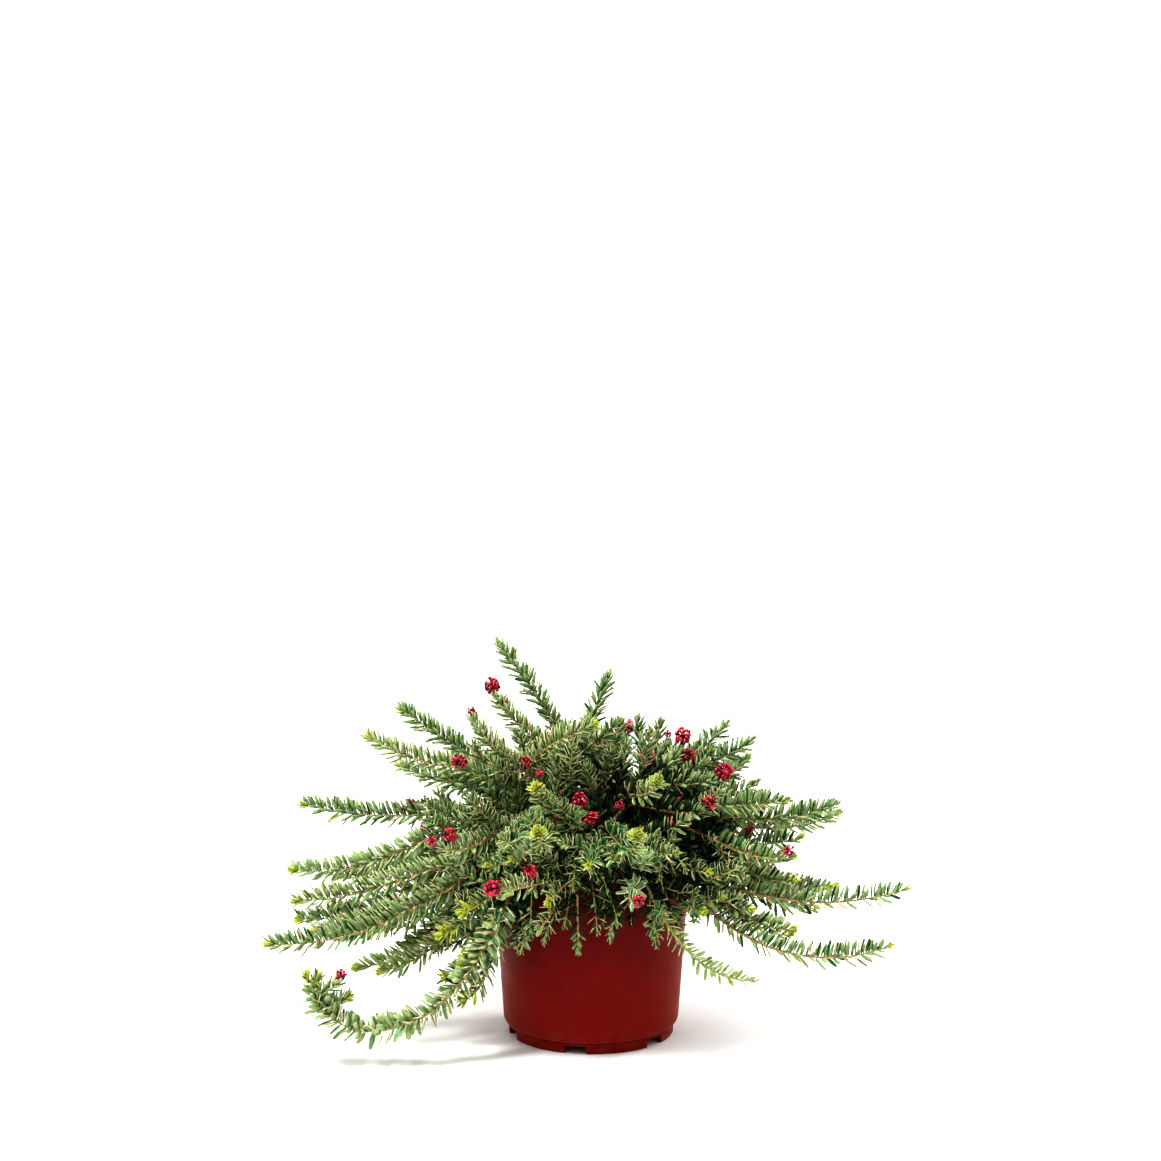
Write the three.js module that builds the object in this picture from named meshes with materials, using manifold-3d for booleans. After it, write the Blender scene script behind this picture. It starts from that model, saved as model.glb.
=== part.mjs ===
// A low spreading grevillea in a plastic nursery pot, in millimetres, +Z up.
// The origin is the centre of the pot's flat foot. +X is to the right of the front view and +Y is behind the pot.
//
// The shrub is made the way it grows. A short stem stands in the soil. Woody boughs leave it all the way round,
// and each bough ends where a mass of foliage begins. A mass is a lead wand that carries the bough on, with side
// wands that fork from it. Wands are slim leafy shoots, with leaves in a spiral and clusters of flower buds.
import * as THREE from "three";
import { mergeVertices } from "three/addons/utils/BufferGeometryUtils.js";
import Module from "manifold-3d";

const wasm = await Module();
wasm.setup();

// Pot
const RIM_RADIUS = 70;
const RIM_HEIGHT = 122;
const RIM_BAND = 8.5;
const WALL_TOP_RADIUS = 68.4;
const WALL_FOOT_RADIUS = 61;
const WALL = 1.6;
const WALL_ROUNDING = 5;
const FOOT_RADIUS = 57.5;
const FOOT_HEIGHT = 7.5;
const FOOT_WALL = 3;
const FLOOR = 2;
const CENTRE_RADIUS = 34;
const CHANNEL_TOP = 5.5;
const NOTCHES = 6;
const NOTCH_WIDTH = 14.5;
const NOTCH_HEIGHT = 5.4;
const FIRST_NOTCH = 259;
const DRAIN_SLOT = [9, 7];
const DRAIN_RADIUS = 45;
const POT_SIDES = 36;

// Soil
const SOIL_TOP = 108;
const SOIL_FLAT_RADIUS = 15;
const SOIL_BUMP = 1.1;
const SOIL_SIDES = 18;

// Stem, boughs and wands
const GAP = 0.3;
const FINEST = 0.02;
const STEM_HEIGHT = 36;
const STEM_LEAN = [1.5, 2.5];
const STEM_RADII = [9.6, 7.4, 6.9, 6.6, 6.3, 5.2, 2.6];
const STEM_STEPS = [0, 0.1, 0.25, 0.5, 0.78, 0.93, 1];
const STEM_FLARE = 0.14;
const BOUGH_RADII = [2.1, 1.5];
const BOUGH_START_RISE = 28;
const LEAD_RADII = [1.8, 1];
const SPLIT_RADIUS = 1.4;
const SIDE_RADII = [0.9, 1.3, 1.2, 1.1, 0.9];
const WAND_STEPS = 4;
const WAND_CLEARANCE = 1.4;
const FORK_ANGLE = 40;
const TUFT = 6;

// Heights above the soil at which the boughs leave the stem. Neighbours leave at different heights.
const TIER = [4.5, 10, 15.5, 20.5, 25.5, 30.5];

// Leaves, fewer and larger than the real ones, which are 10 to 15 long
const LEAF = { length: 20, width: 8, thickness: 1.2, spacing: 11.2, lean: 46 };
const LEAF_ROW_SPREAD = 22;
const LEAF_ROLL = 60;
const LEAF_LIFT = 0.25;
const LEAF_SINK = 0.2;
const BARE_FOOT = 9;
const BUD_STALK = 8;

const degrees = THREE.MathUtils.degToRad;
const up = new THREE.Vector3(0, 0, 1);
const right = new THREE.Vector3(1, 0, 0);

// A point given by its direction seen from above, its distance from the pot's axis and its height.
function polar(azimuth, reach, height) {
  const a = degrees(azimuth);
  return new THREE.Vector3(reach * Math.cos(a), reach * Math.sin(a), height);
}

// A unit direction given by its azimuth and its rise above the horizontal.
function heading(azimuth, rise) {
  const r = degrees(rise);
  return polar(azimuth, Math.cos(r), Math.sin(r));
}

// The same numbers in the same order each time (a 32-bit mixing generator).
function seeded(seed) {
  let state = seed;
  return () => {
    state = (state + 0x6d2b79f5) | 0;
    let mixed = Math.imul(state ^ (state >>> 15), 1 | state);
    mixed = (mixed + Math.imul(mixed ^ (mixed >>> 7), 61 | mixed)) ^ mixed;
    return ((mixed ^ (mixed >>> 14)) >>> 0) / 4294967296;
  };
}

// A wand is stated by where its tip is and how steeply the tip rises. The tip points outwards unless its heading
// is stated. fork is how far along the lead wand it leaves, buds lists its clusters, each as [share of the wand,
// turn about the stem, radius], and an open wand ends in a flat face that another mass goes on from.
function wand(azimuth, reach, height, rise, options = {}) {
  return { azimuth, reach, height, rise, heading: azimuth, fork: 0.1, buds: [], open: false, ...options };
}

// A bough is stated by its own tip, how steeply it rises there and the height where it leaves the stem.
function bough(name, azimuth, reach, height, rise, root, wands) {
  return { name, azimuth, reach, height, rise, root, wands };
}

const LIMBS = [
  bough("left_low", 204, 61, 132, -24, TIER[1], [
    wand(198, 230, 80, 2, { heading: 184 }),
    wand(191, 208, 102, 4),
    wand(199, 154, 55, -6, { fork: 0.08, buds: [[0.6, 90, 4]] }),
  ]),
  bough("left_trailing", 231, 61, 136, -40, TIER[0], [
    wand(209, 167, 24, -2, { heading: 182, open: true }),
    wand(222, 120, 44, 0, { fork: 0.34 }),
    wand(237, 90, 68, -62, { fork: 0.16 }),
    wand(224, 122, 104, -6, { fork: 0.14 }),
  ]),
  bough("front_low", 262, 59, 132, -26, TIER[1], [
    wand(264, 88, 72, -76),
    wand(240, 128, 125, 8, { fork: 0.08, buds: [[1, 0, 6], [0.5, 0, 5]] }),
    wand(249, 89, 78, -70, { fork: 0.3 }),
    wand(254, 108, 114, -8, { fork: 0.16 }),
  ]),
  bough("front_right_low", 297, 61, 135, -38, TIER[0], [
    wand(321, 146, 61, 2, { heading: 352 }),
    wand(284, 123, 119, 4, { fork: 0.06, buds: [[1, 0, 4.5]] }),
    wand(278, 88, 80, -74, { fork: 0.14 }),
    wand(299, 90, 74, -72, { fork: 0.24 }),
  ]),
  bough("right_front_low", 325, 61, 132, -28, TIER[1], [
    wand(338, 219, 84, 22, { heading: 355 }),
    wand(352, 223, 109, 14, { heading: 10, fork: 0.08 }),
    wand(340, 148, 81, 8, { fork: 0.2 }),
    wand(312, 116, 104, -4, { fork: 0.12 }),
  ]),
  bough("right_low", 353, 61, 134, -20, TIER[0], [
    wand(357, 170, 104, 12),
    wand(6, 128, 106, 18, { buds: [[1, 0, 3]] }),
    wand(12, 184, 92, 6, { fork: 0.14 }),
  ]),
  bough("left_back_low", 174, 61, 133, -22, TIER[0], [
    wand(177, 209, 76, 2),
    wand(183, 167, 46, -4, { fork: 0.1 }),
    wand(165, 192, 98, 8),
  ]),
  bough("left_middle", 183, 48, 148, 6, TIER[2], [
    wand(183, 210, 117, 10, { buds: [[0.38, 0, 4]] }),
    wand(168, 212, 152, 14, { buds: [[0.46, 40, 4], [0.38, 20, 4]] }),
  ]),
  bough("front_left_middle", 209, 44, 147, 18, TIER[3], [
    wand(214, 127, 148, 26, { buds: [[1, 90, 4], [0.86, 0, 5]] }),
    wand(226, 104, 134, 14, { fork: 0.08 }),
    wand(235, 108, 158, 32),
  ]),
  bough("front_left", 240, 40, 149, 42, TIER[2], [
    wand(252, 116, 170, 42),
    wand(244, 86, 193, 66, { buds: [[1, 0, 3.5]] }),
    wand(262, 58, 172, 70, { fork: 0.05, buds: [[1, 0, 5.5], [0.82, 200, 5]] }),
    wand(238, 104, 142, 14, { fork: 0.05 }),
  ]),
  bough("front_right", 281, 44, 146, 30, TIER[3], [
    wand(283, 130, 172, 40),
    wand(269, 122, 145, 8),
    wand(290, 56, 168, 80, { fork: 0.05, buds: [[1, 0, 3.5]] }),
    wand(301, 112, 148, 18, { fork: 0.06 }),
  ]),
  bough("right_front_middle", 338, 46, 148, 14, TIER[3], [
    wand(336, 145, 138, 16, { buds: [[1, 0, 4], [0.12, 60, 5]] }),
    wand(345, 142, 170, 10, { buds: [[0.1, 0, 5]] }),
    wand(320, 108, 128, 10, { fork: 0.05 }),
  ]),
  bough("right_middle", 4, 48, 148, 8, TIER[2], [
    wand(3, 177, 161, 26),
    wand(353, 150, 142, 20, { buds: [[0.55, 0, 3.5]] }),
    wand(13, 186, 146, 20),
  ]),
  bough("left_upper", 168, 36, 160, 38, TIER[4], [
    wand(173, 160, 206, 34, { buds: [[0.2, 20, 5], [0.12, 300, 5.5]] }),
    wand(154, 155, 218, 32),
    wand(149, 166, 172, 18),
  ]),
  bough("left_spire", 203, 26, 162, 60, TIER[5], [
    wand(200, 87, 229, 64, { buds: [[1, 0, 3], [0.4, 300, 4]] }),
    wand(190, 92, 190, 30, { fork: 0.04, buds: [[1, 0, 5.5]] }),
  ]),
  bough("front_spire", 308, 26, 160, 58, TIER[4], [
    wand(307, 75, 194, 66),
    wand(330, 92, 168, 26, { fork: 0.05, buds: [[1, 0, 5]] }),
  ]),
  bough("right_spire", 347, 26, 162, 60, TIER[5], [
    wand(348, 93, 184, 26, { buds: [[1, 0, 6]] }),
    wand(14, 67, 203, 66, { buds: [[1, 0, 6], [0.82, 180, 5.5]] }),
    wand(5, 40, 190, 78, { fork: 0.05, buds: [[1, 0, 6]] }),
  ]),
  bough("right_top", 25, 34, 162, 44, TIER[4], [
    wand(19, 125, 201, 36),
    wand(31, 117, 209, 42, { buds: [[0.12, 0, 4.5]] }),
    wand(36, 147, 179, 30),
    wand(8, 121, 174, 34),
  ]),
  bough("back_left_spire", 122, 27, 168, 80, TIER[5], [
    wand(139, 91, 269, 50, { heading: 150 }),
    wand(76, 62, 247, 62, { heading: 45, fork: 0.08 }),
    wand(144, 88, 233, 50, { fork: 0.12, buds: [[1, 0, 6], [0.84, 120, 5]] }),
    wand(160, 92, 190, 30, { fork: 0.04, buds: [[0.6, 60, 5.5]] }),
  ]),
  bough("back_spire", 68, 24, 168, 66, TIER[5], [
    wand(73, 89, 197, 40, { buds: [[1, 0, 6.5], [0.86, 270, 5]] }),
    wand(92, 64, 216, 62, { fork: 0.08, buds: [[0.5, 250, 5.5]] }),
  ]),
];

// The side away from the front view, which fills the crown round.
const BACK_LOW = { first: 34, step: 36, count: 4, reach: 62, height: 137, rise: -8 };
const BACK_MIDDLE = { first: 52, step: 36, count: 3, reach: 46, height: 150, rise: 18 };
for (let i = 0; i < BACK_LOW.count; i++) {
  const { reach, height, rise } = BACK_LOW;
  const azimuth = BACK_LOW.first + BACK_LOW.step * i;
  const longer = i % 2 ? 18 : 0;
  LIMBS.push(
    bough(`back_low_${i + 1}`, azimuth, reach, height, rise, TIER[i % 2], [
      wand(azimuth + 3, 196 + longer, 96, 10),
      wand(azimuth - 12, 178 - longer, 78, 4, { buds: [[0.5, 0, 4.5]] }),
      wand(azimuth + 14, 142, 58 + longer, -4, { fork: 0.05 }),
    ]),
  );
}
for (let i = 0; i < BACK_MIDDLE.count; i++) {
  const { reach, height, rise } = BACK_MIDDLE;
  const azimuth = BACK_MIDDLE.first + BACK_MIDDLE.step * i;
  const longer = i % 2 ? 14 : 0;
  LIMBS.push(
    bough(`back_middle_${i + 1}`, azimuth, reach, height, rise, TIER[3 - (i % 2)], [
      wand(azimuth - 2, 168 + longer, 150, 20, { buds: [[0.3, 0, 5]] }),
      wand(azimuth + 13, 134, 176 + longer, 32, { buds: [[1, 0, 5]] }),
    ]),
  );
}

// The trailing wand on the left sweeps out low and turns back up. It is two masses, split at its bend.
const UPTURN = {
  name: "left_upturn",
  tip: wand(203, 206, 66, 74, { heading: 180, buds: [[0.9, 20, 4.5]] }),
  side: wand(206, 176, 48, 34, { heading: 0, fork: 0.5 }),
};

// A smooth path from one point to another that leaves and arrives in given directions.
function sweep(from, leave, to, arrive) {
  const handle = 0.4 * from.distanceTo(to);
  return new THREE.CubicBezierCurve3(
    from,
    from.clone().addScaledVector(leave, handle),
    to.clone().addScaledVector(arrive, -handle),
    to,
  );
}

// Two directions at right angles to a path and to each other, which turn with it as little as they can.
function crossAxes(path, share) {
  path.frames ??= path.computeFrenetFrames(100, false);
  const i = Math.round(share * 100);
  return [path.frames.normals[i], path.frames.binormals[i]];
}

// A closed limb: rings of points round the path, joined by side faces and closed by a flat face at each end.
// radiusAt gives the radius from the share of the path and the angle round it.
function limb(path, shares, sides, radiusAt) {
  const points = [];
  for (const share of shares) {
    const centre = path.getPointAt(share);
    const [across, over] = crossAxes(path, share);
    for (let s = 0; s < sides; s++) {
      const angle = (2 * Math.PI * s) / sides;
      const radius = radiusAt(share, angle);
      points.push(
        centre
          .clone()
          .addScaledVector(across, radius * Math.cos(angle))
          .addScaledVector(over, radius * Math.sin(angle)),
      );
    }
  }
  const faces = [];
  for (let ring = 0; ring + 1 < shares.length; ring++) {
    for (let s = 0; s < sides; s++) {
      const a = ring * sides + s;
      const b = ring * sides + ((s + 1) % sides);
      faces.push([a, b, b + sides], [a, b + sides, a + sides]);
    }
  }
  const last = (shares.length - 1) * sides;
  for (let s = 1; s + 1 < sides; s++) {
    faces.push([0, s + 1, s], [last, last + s, last + s + 1]);
  }
  return solidOf(points, faces);
}

function solidOf(points, faces) {
  return new wasm.Manifold(
    new wasm.Mesh({
      numProp: 3,
      vertProperties: new Float32Array(points.flatMap((p) => [p.x, p.y, p.z])),
      triVerts: new Uint32Array(faces.flat()),
    }),
  );
}

// A geometry from three.js with one vertex where its faces meet, and then as a solid.
function welded(geometry) {
  const bare = geometry.clone();
  bare.deleteAttribute("normal");
  bare.deleteAttribute("uv");
  return mergeVertices(bare, 1e-3);
}

function solidFrom(geometry) {
  const { attributes, index } = welded(geometry);
  return new wasm.Manifold(
    new wasm.Mesh({
      numProp: 3,
      vertProperties: new Float32Array(attributes.position.array),
      triVerts: new Uint32Array(index.array),
    }),
  );
}

const even = (steps) => Array.from({ length: steps + 1 }, (_, i) => i / steps);
const taper = ([root, tip]) => (share) => root + (tip - root) * share;
const sideRadius = (share) => SIDE_RADII[Math.round(share * WAND_STEPS)];

// Every limb, leaf and cluster keeps clear of what other masses have already taken. Each is held here as a round
// bar: a line between two points with a radius.
const taken = [];

function barDistance(a, b) {
  const u = a.to.clone().sub(a.from);
  const v = b.to.clone().sub(b.from);
  const w = a.from.clone().sub(b.from);
  const [uu, uv, vv, uw, vw] = [u.dot(u), u.dot(v), v.dot(v), u.dot(w), v.dot(w)];
  const clamp = (x) => Math.min(1, Math.max(0, x));
  const spread = uu * vv - uv * uv;
  let s = spread > 1e-9 ? clamp((uv * vw - vv * uw) / spread) : 0;
  const t = clamp((uv * s + vw) / vv);
  s = clamp((uv * t - uw) / uu);
  return w.addScaledVector(u, s).addScaledVector(v, -t).length() - a.radius - b.radius;
}

const isClear = (bar) => taken.every((other) => other.owner === bar.owner || barDistance(bar, other) > GAP);
const ownerOf = (mass, wandIndex) => `${mass} ${wandIndex}`;

function take(path, radius, owner, steps = 12) {
  const points = path.getSpacedPoints(steps);
  for (let i = 0; i < steps; i++) {
    taken.push({ from: points[i], to: points[i + 1], radius, owner });
  }
}

// The pot and the soil as a test: is a bar outside both?
function wallRadius(height) {
  return height > RIM_HEIGHT - RIM_BAND ? RIM_RADIUS : WALL_TOP_RADIUS;
}

function isOutsidePot(bar) {
  return [0, 0.25, 0.5, 0.75, 1].every((share) => {
    const p = bar.from.clone().lerp(bar.to, share);
    const radius = Math.hypot(p.x, p.y);
    const margin = bar.radius + GAP;
    if (p.z > RIM_HEIGHT + margin) return true;
    if (radius > wallRadius(p.z) + margin) return p.z > margin;
    return radius < WALL_TOP_RADIUS - 3 * WALL - margin && p.z > SOIL_TOP + 2 * SOIL_BUMP + margin;
  });
}

// Materials
const plain = (colour, roughness) => new THREE.MeshStandardMaterial({ color: colour, roughness, metalness: 0 });
const potPlastic = plain(0x7a1f16, 0.55);
const pottingSoil = plain(0x2a1c14, 0.95);
const bark = plain(0x8a6248, 0.85);
const foliage = plain(0x4c6a3c, 0.6);

function meshOf(name, solid, material) {
  const { numProp, vertProperties, triVerts } = solid.getMesh();
  const position = new Float32Array((vertProperties.length / numProp) * 3);
  for (let i = 0; i * numProp < vertProperties.length; i++) {
    position.set(vertProperties.subarray(i * numProp, i * numProp + 3), i * 3);
  }
  const geometry = new THREE.BufferGeometry();
  geometry.setAttribute("position", new THREE.BufferAttribute(position, 3));
  geometry.setIndex(new THREE.BufferAttribute(new Uint32Array(triVerts), 1));
  geometry.computeVertexNormals();
  const mesh = new THREE.Mesh(geometry, material);
  mesh.name = name;
  return mesh;
}

// A shape turned round the pot's axis from a profile of [radius, height] points that starts and ends on the axis.
function turned(profile, sides) {
  const points = profile.map(([radius, height]) => new THREE.Vector2(radius, height));
  return new THREE.LatheGeometry(points, sides).rotateX(Math.PI / 2);
}

// The wall's outer radius between the rounding above the foot and the rim band.
function wallOuter(height) {
  const share = (height - FOOT_HEIGHT - WALL_ROUNDING) / (RIM_HEIGHT - RIM_BAND - FOOT_HEIGHT - WALL_ROUNDING);
  return WALL_FOOT_RADIUS + (WALL_TOP_RADIUS - WALL_FOOT_RADIUS) * share;
}

// The pot: a tapering shell with a rounded lower edge and a rim band. Its floor is flat in the middle, where it
// stands, and a raised channel with the drain slots runs round that, behind a foot ring cut by notches.
function makePot() {
  const shoulder = FOOT_HEIGHT + WALL_ROUNDING;
  const rounding = (inset) =>
    [0, 45, 90].map((angle) => [
      WALL_FOOT_RADIUS - inset - (WALL_FOOT_RADIUS - FOOT_RADIUS) * (1 - Math.sin(degrees(angle))),
      shoulder - (WALL_ROUNDING - inset) * Math.cos(degrees(angle)),
    ]);
  const bandFoot = RIM_HEIGHT - RIM_BAND;
  const profile = [
    [0, 0],
    [CENTRE_RADIUS, 0],
    [CENTRE_RADIUS + 1.5, CHANNEL_TOP],
    [FOOT_RADIUS - FOOT_WALL - 1, CHANNEL_TOP],
    [FOOT_RADIUS - FOOT_WALL, 0],
    [FOOT_RADIUS - 0.5, 0],
    ...rounding(0),
    [WALL_TOP_RADIUS, bandFoot],
    [RIM_RADIUS, bandFoot + 0.8],
    [RIM_RADIUS, RIM_HEIGHT - 0.8],
    [RIM_RADIUS - 0.8, RIM_HEIGHT],
    [WALL_TOP_RADIUS - WALL + 0.4, RIM_HEIGHT],
    [WALL_TOP_RADIUS - WALL, bandFoot],
    ...rounding(WALL).reverse(),
    [FOOT_RADIUS - WALL - 3, CHANNEL_TOP + FLOOR],
    [CENTRE_RADIUS - 0.5, CHANNEL_TOP + FLOOR],
    [CENTRE_RADIUS - 2, FLOOR],
    [0, FLOOR],
  ];
  let pot = solidFrom(turned(profile, POT_SIDES));
  for (let i = 0; i < NOTCHES; i++) {
    const angle = degrees(FIRST_NOTCH + (360 / NOTCHES) * i);
    const notch = new THREE.BoxGeometry(4 * FOOT_WALL, NOTCH_WIDTH, 2 * NOTCH_HEIGHT);
    notch.translate(FOOT_RADIUS - FOOT_WALL / 2, 0, 0).rotateZ(angle);
    const slot = new THREE.BoxGeometry(DRAIN_SLOT[0], DRAIN_SLOT[1], 4 * CHANNEL_TOP);
    slot.translate(DRAIN_RADIUS, 0, 0).rotateZ(angle);
    pot = pot.subtract(solidFrom(notch)).subtract(solidFrom(slot));
  }
  return pot;
}

// The soil fills the pot to just below the rim band. It is flat round the stem and uneven elsewhere.
function makeSoil() {
  const random = seeded(3);
  const edge = wallOuter(SOIL_TOP) - WALL - GAP;
  const foot = wallOuter(FOOT_HEIGHT + WALL_ROUNDING) - WALL - GAP;
  const rings = [SOIL_FLAT_RADIUS, 28, 42, 55];
  const profile = [
    [0, FLOOR + GAP],
    [CENTRE_RADIUS - 2.9, FLOOR + GAP],
    [CENTRE_RADIUS - 1.2, CHANNEL_TOP + FLOOR + GAP],
    [FOOT_RADIUS - WALL - 5, CHANNEL_TOP + FLOOR + GAP],
    [foot - 0.6, FOOT_HEIGHT + WALL_ROUNDING + 1],
    [edge, SOIL_TOP - 1.5],
    ...rings.map((radius) => [radius, SOIL_TOP]).reverse(),
    [0, SOIL_TOP],
  ];
  const geometry = welded(turned(profile, SOIL_SIDES));
  const position = geometry.attributes.position;
  for (let i = 0; i < position.count; i++) {
    const radius = Math.hypot(position.getX(i), position.getY(i));
    if (position.getZ(i) < SOIL_TOP - 0.5 || radius < SOIL_FLAT_RADIUS + 1) continue;
    position.setZ(i, SOIL_TOP + (2 * random() - 1) * SOIL_BUMP);
  }
  return solidFrom(geometry);
}

// The stem rises from a flat cut on the soil, with a lobed flare at its foot. grown adds to its radius.
const stemFoot = new THREE.Vector3(0, 0, SOIL_TOP + GAP);
const stemTop = new THREE.Vector3(...STEM_LEAN, SOIL_TOP + GAP + STEM_HEIGHT);
const stemPath = sweep(stemFoot, up, stemTop, stemTop.clone().sub(stemFoot).normalize());

function makeStem(grown) {
  const radiusAt = (share, angle) => {
    const i = Math.max(1, STEM_STEPS.findIndex((s) => s >= share));
    const within = (share - STEM_STEPS[i - 1]) / (STEM_STEPS[i] - STEM_STEPS[i - 1]);
    const radius = STEM_RADII[i - 1] + (STEM_RADII[i] - STEM_RADII[i - 1]) * within;
    const flare = Math.max(0, 1 - share / STEM_STEPS[2]) * STEM_FLARE * Math.cos(5 * angle);
    return radius * (1 + flare) + grown;
  };
  return limb(stemPath, STEM_STEPS, 12, radiusAt);
}

// A leaf is a slim keeled blade in four points: its root, its tip and the two edges, which stand above its keel.
function makeLeaf(root, direction, upper, { length, width, thickness }) {
  const side = new THREE.Vector3().crossVectors(direction, upper).normalize();
  const over = new THREE.Vector3().crossVectors(side, direction).normalize();
  const middle = root.clone().addScaledVector(direction, 0.45 * length).addScaledVector(over, thickness);
  const points = [
    root,
    root.clone().addScaledVector(direction, length),
    middle.clone().addScaledVector(side, width / 2),
    middle.clone().addScaledVector(side, -width / 2),
  ];
  const faces = [
    [0, 1, 2],
    [0, 3, 1],
    [0, 2, 3],
    [1, 3, 2],
  ];
  return solidOf(points, faces);
}

// A direction away from the path: lean degrees from the path's own, on the side that turn points to. turn is
// counted round the stem from its upper side, and lift bends the result towards the light.
function branching(path, share, turn, lean, lift = 0) {
  const along = path.getTangentAt(share);
  const level = new THREE.Vector3().crossVectors(along, up);
  if (level.length() < 0.2) level.set(1, 0, 0);
  level.normalize();
  const upper = new THREE.Vector3().crossVectors(level, along).normalize();
  const outward = upper.multiplyScalar(Math.cos(degrees(turn))).addScaledVector(level, Math.sin(degrees(turn)));
  return along
    .multiplyScalar(Math.cos(degrees(lean)))
    .addScaledVector(outward, Math.sin(degrees(lean)))
    .addScaledVector(up, lift)
    .normalize();
}

// The middle of a wand at a share of its length, on the straight pieces it is made of.
function middleOf(path, share) {
  const at = Math.min(share * WAND_STEPS, WAND_STEPS - 1e-6);
  const piece = Math.floor(at);
  return path.getPointAt(piece / WAND_STEPS).lerp(path.getPointAt((piece + 1) / WAND_STEPS), at - piece);
}

// Leaves along one wand, each from the next of its three faces in turn. A leaf is skipped where it would touch
// another wand, a limb or the pot.
function leavesOf(path, owner, random, hasTuft) {
  const length = path.getLength();
  const leaves = [];
  const firstFace = Math.floor(3 * random());
  const count = Math.floor((length - BARE_FOOT) / LEAF.spacing) + 1;
  for (let i = 0; i < count; i++) {
    const share = (BARE_FOOT + LEAF.spacing * (i + 0.5 * random())) / length;
    if (share > 0.97) break;
    const young = Math.max(0, (share - 0.75) / 0.25);
    const along = path.getTangentAt(share);
    const [across, over] = crossAxes(path, share);
    const turn = degrees(60 + 120 * (firstFace + i) + LEAF_ROW_SPREAD * (2 * random() - 1));
    const lean = degrees(LEAF.lean - 16 * young);
    const direction = along
      .clone()
      .multiplyScalar(Math.cos(lean))
      .addScaledVector(across, Math.sin(lean) * Math.cos(turn))
      .addScaledVector(over, Math.sin(lean) * Math.sin(turn))
      .addScaledVector(up, LEAF_LIFT)
      .normalize();
    const size = { ...LEAF, length: LEAF.length * (1 - 0.25 * young), width: LEAF.width * (1 - 0.25 * young) };
    const root = middleOf(path, share).addScaledVector(direction, -LEAF_SINK);
    const roll = degrees(LEAF_ROLL * (2 * random() - 1));
    addLeaf(leaves, root, direction, along.applyAxisAngle(direction, roll), size, owner);
  }
  if (!hasTuft) return leaves;
  const tip = path.getPointAt(1);
  const ahead = path.getTangentAt(1);
  const small = { ...LEAF, length: TUFT + 4, width: 4.5 };
  const upper = branching(path, 1, 0, 90);
  addLeaf(leaves, tip.clone().addScaledVector(ahead, -4), ahead, upper, small, owner);
  return leaves;
}

function addLeaf(leaves, root, direction, along, size, owner) {
  const far = root.clone().addScaledVector(direction, size.length);
  const near = root.clone().addScaledVector(direction, WAND_CLEARANCE + 0.5);
  const bar = { from: near, to: far, radius: 0.4 * size.width, owner };
  if (!isClear(bar) || !isOutsidePot(bar)) return;
  taken.push(bar);
  leaves.push(makeLeaf(root, direction, along.clone().negate(), size));
}

// A cluster of flower buds is one solid: a stalk that widens into a faceted ball.
function makeCluster(root, direction, reach, radius) {
  const side = new THREE.Vector3().crossVectors(direction, Math.abs(direction.x) < 0.8 ? right : up).normalize();
  const over = new THREE.Vector3().crossVectors(direction, side);
  const rings = [
    [reach - 0.55 * radius, 0.86 * radius, 0],
    [reach + 0.45 * radius, 0.9 * radius, 36],
  ];
  const points = [root];
  for (const [height, spread, turn] of rings) {
    for (let s = 0; s < 5; s++) {
      const angle = degrees(72 * s + turn);
      points.push(
        root
          .clone()
          .addScaledVector(direction, height)
          .addScaledVector(side, spread * Math.cos(angle))
          .addScaledVector(over, spread * Math.sin(angle)),
      );
    }
  }
  points.push(root.clone().addScaledVector(direction, reach + radius));
  const faces = [];
  for (let s = 0; s < 5; s++) {
    const next = (s + 1) % 5;
    faces.push([0, 1 + next, 1 + s], [1 + s, 1 + next, 6 + s]);
    faces.push([6 + s, 1 + next, 6 + next], [6 + s, 6 + next, 11]);
  }
  return solidOf(points, faces);
}

function addBuds(parts, path, [share, turn, radius], owner) {
  const direction = branching(path, share, turn, share === 1 ? 8 : 62, 0.25);
  const root = middleOf(path, Math.min(share, 0.98));
  const centre = root.clone().addScaledVector(direction, BUD_STALK + (share === 1 ? 0 : 2));
  const bar = { from: root.clone().addScaledVector(direction, 2), to: centre, radius: 1.5, owner };
  const ball = { from: centre, to: centre.clone().addScaledVector(direction, 0.1), radius, owner };
  if (!isClear(bar) || !isClear(ball) || !isOutsidePot(ball)) return;
  taken.push(bar, ball);
  parts.push(makeCluster(root, direction, root.distanceTo(centre), radius));
}

// The wands of one mass as paths. The lead wand starts just past the bough's tip and the others fork from it.
function wandPaths(start, leave, wands) {
  const paths = [];
  for (const { azimuth, reach, height, rise, heading: facing, fork, open } of wands) {
    const arrive = heading(facing, rise);
    const to = polar(azimuth, reach, height).addScaledVector(arrive, open ? 0 : -TUFT);
    if (!paths.length) {
      paths.push(sweep(start, leave, to, arrive));
      continue;
    }
    const from = middleOf(paths[0], fork);
    const ahead = paths[0].getTangentAt(fork);
    const towards = to.clone().sub(from);
    const aside = towards.addScaledVector(ahead, -towards.dot(ahead)).normalize();
    const away = degrees(FORK_ANGLE);
    const outset = ahead.multiplyScalar(Math.cos(away)).addScaledVector(aside, Math.sin(away));
    paths.push(sweep(from, outset, to, arrive));
  }
  return paths;
}

function joined(parts) {
  const [first, ...others] = parts;
  return others.reduce((solid, part) => solid.add(part), first).simplify(FINEST);
}

const shrub = new THREE.Group();
shrub.add(meshOf("pot", makePot(), potPlastic));
shrub.add(meshOf("soil", makeSoil(), pottingSoil));
shrub.add(meshOf("main_stem", makeStem(0), bark));

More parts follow.
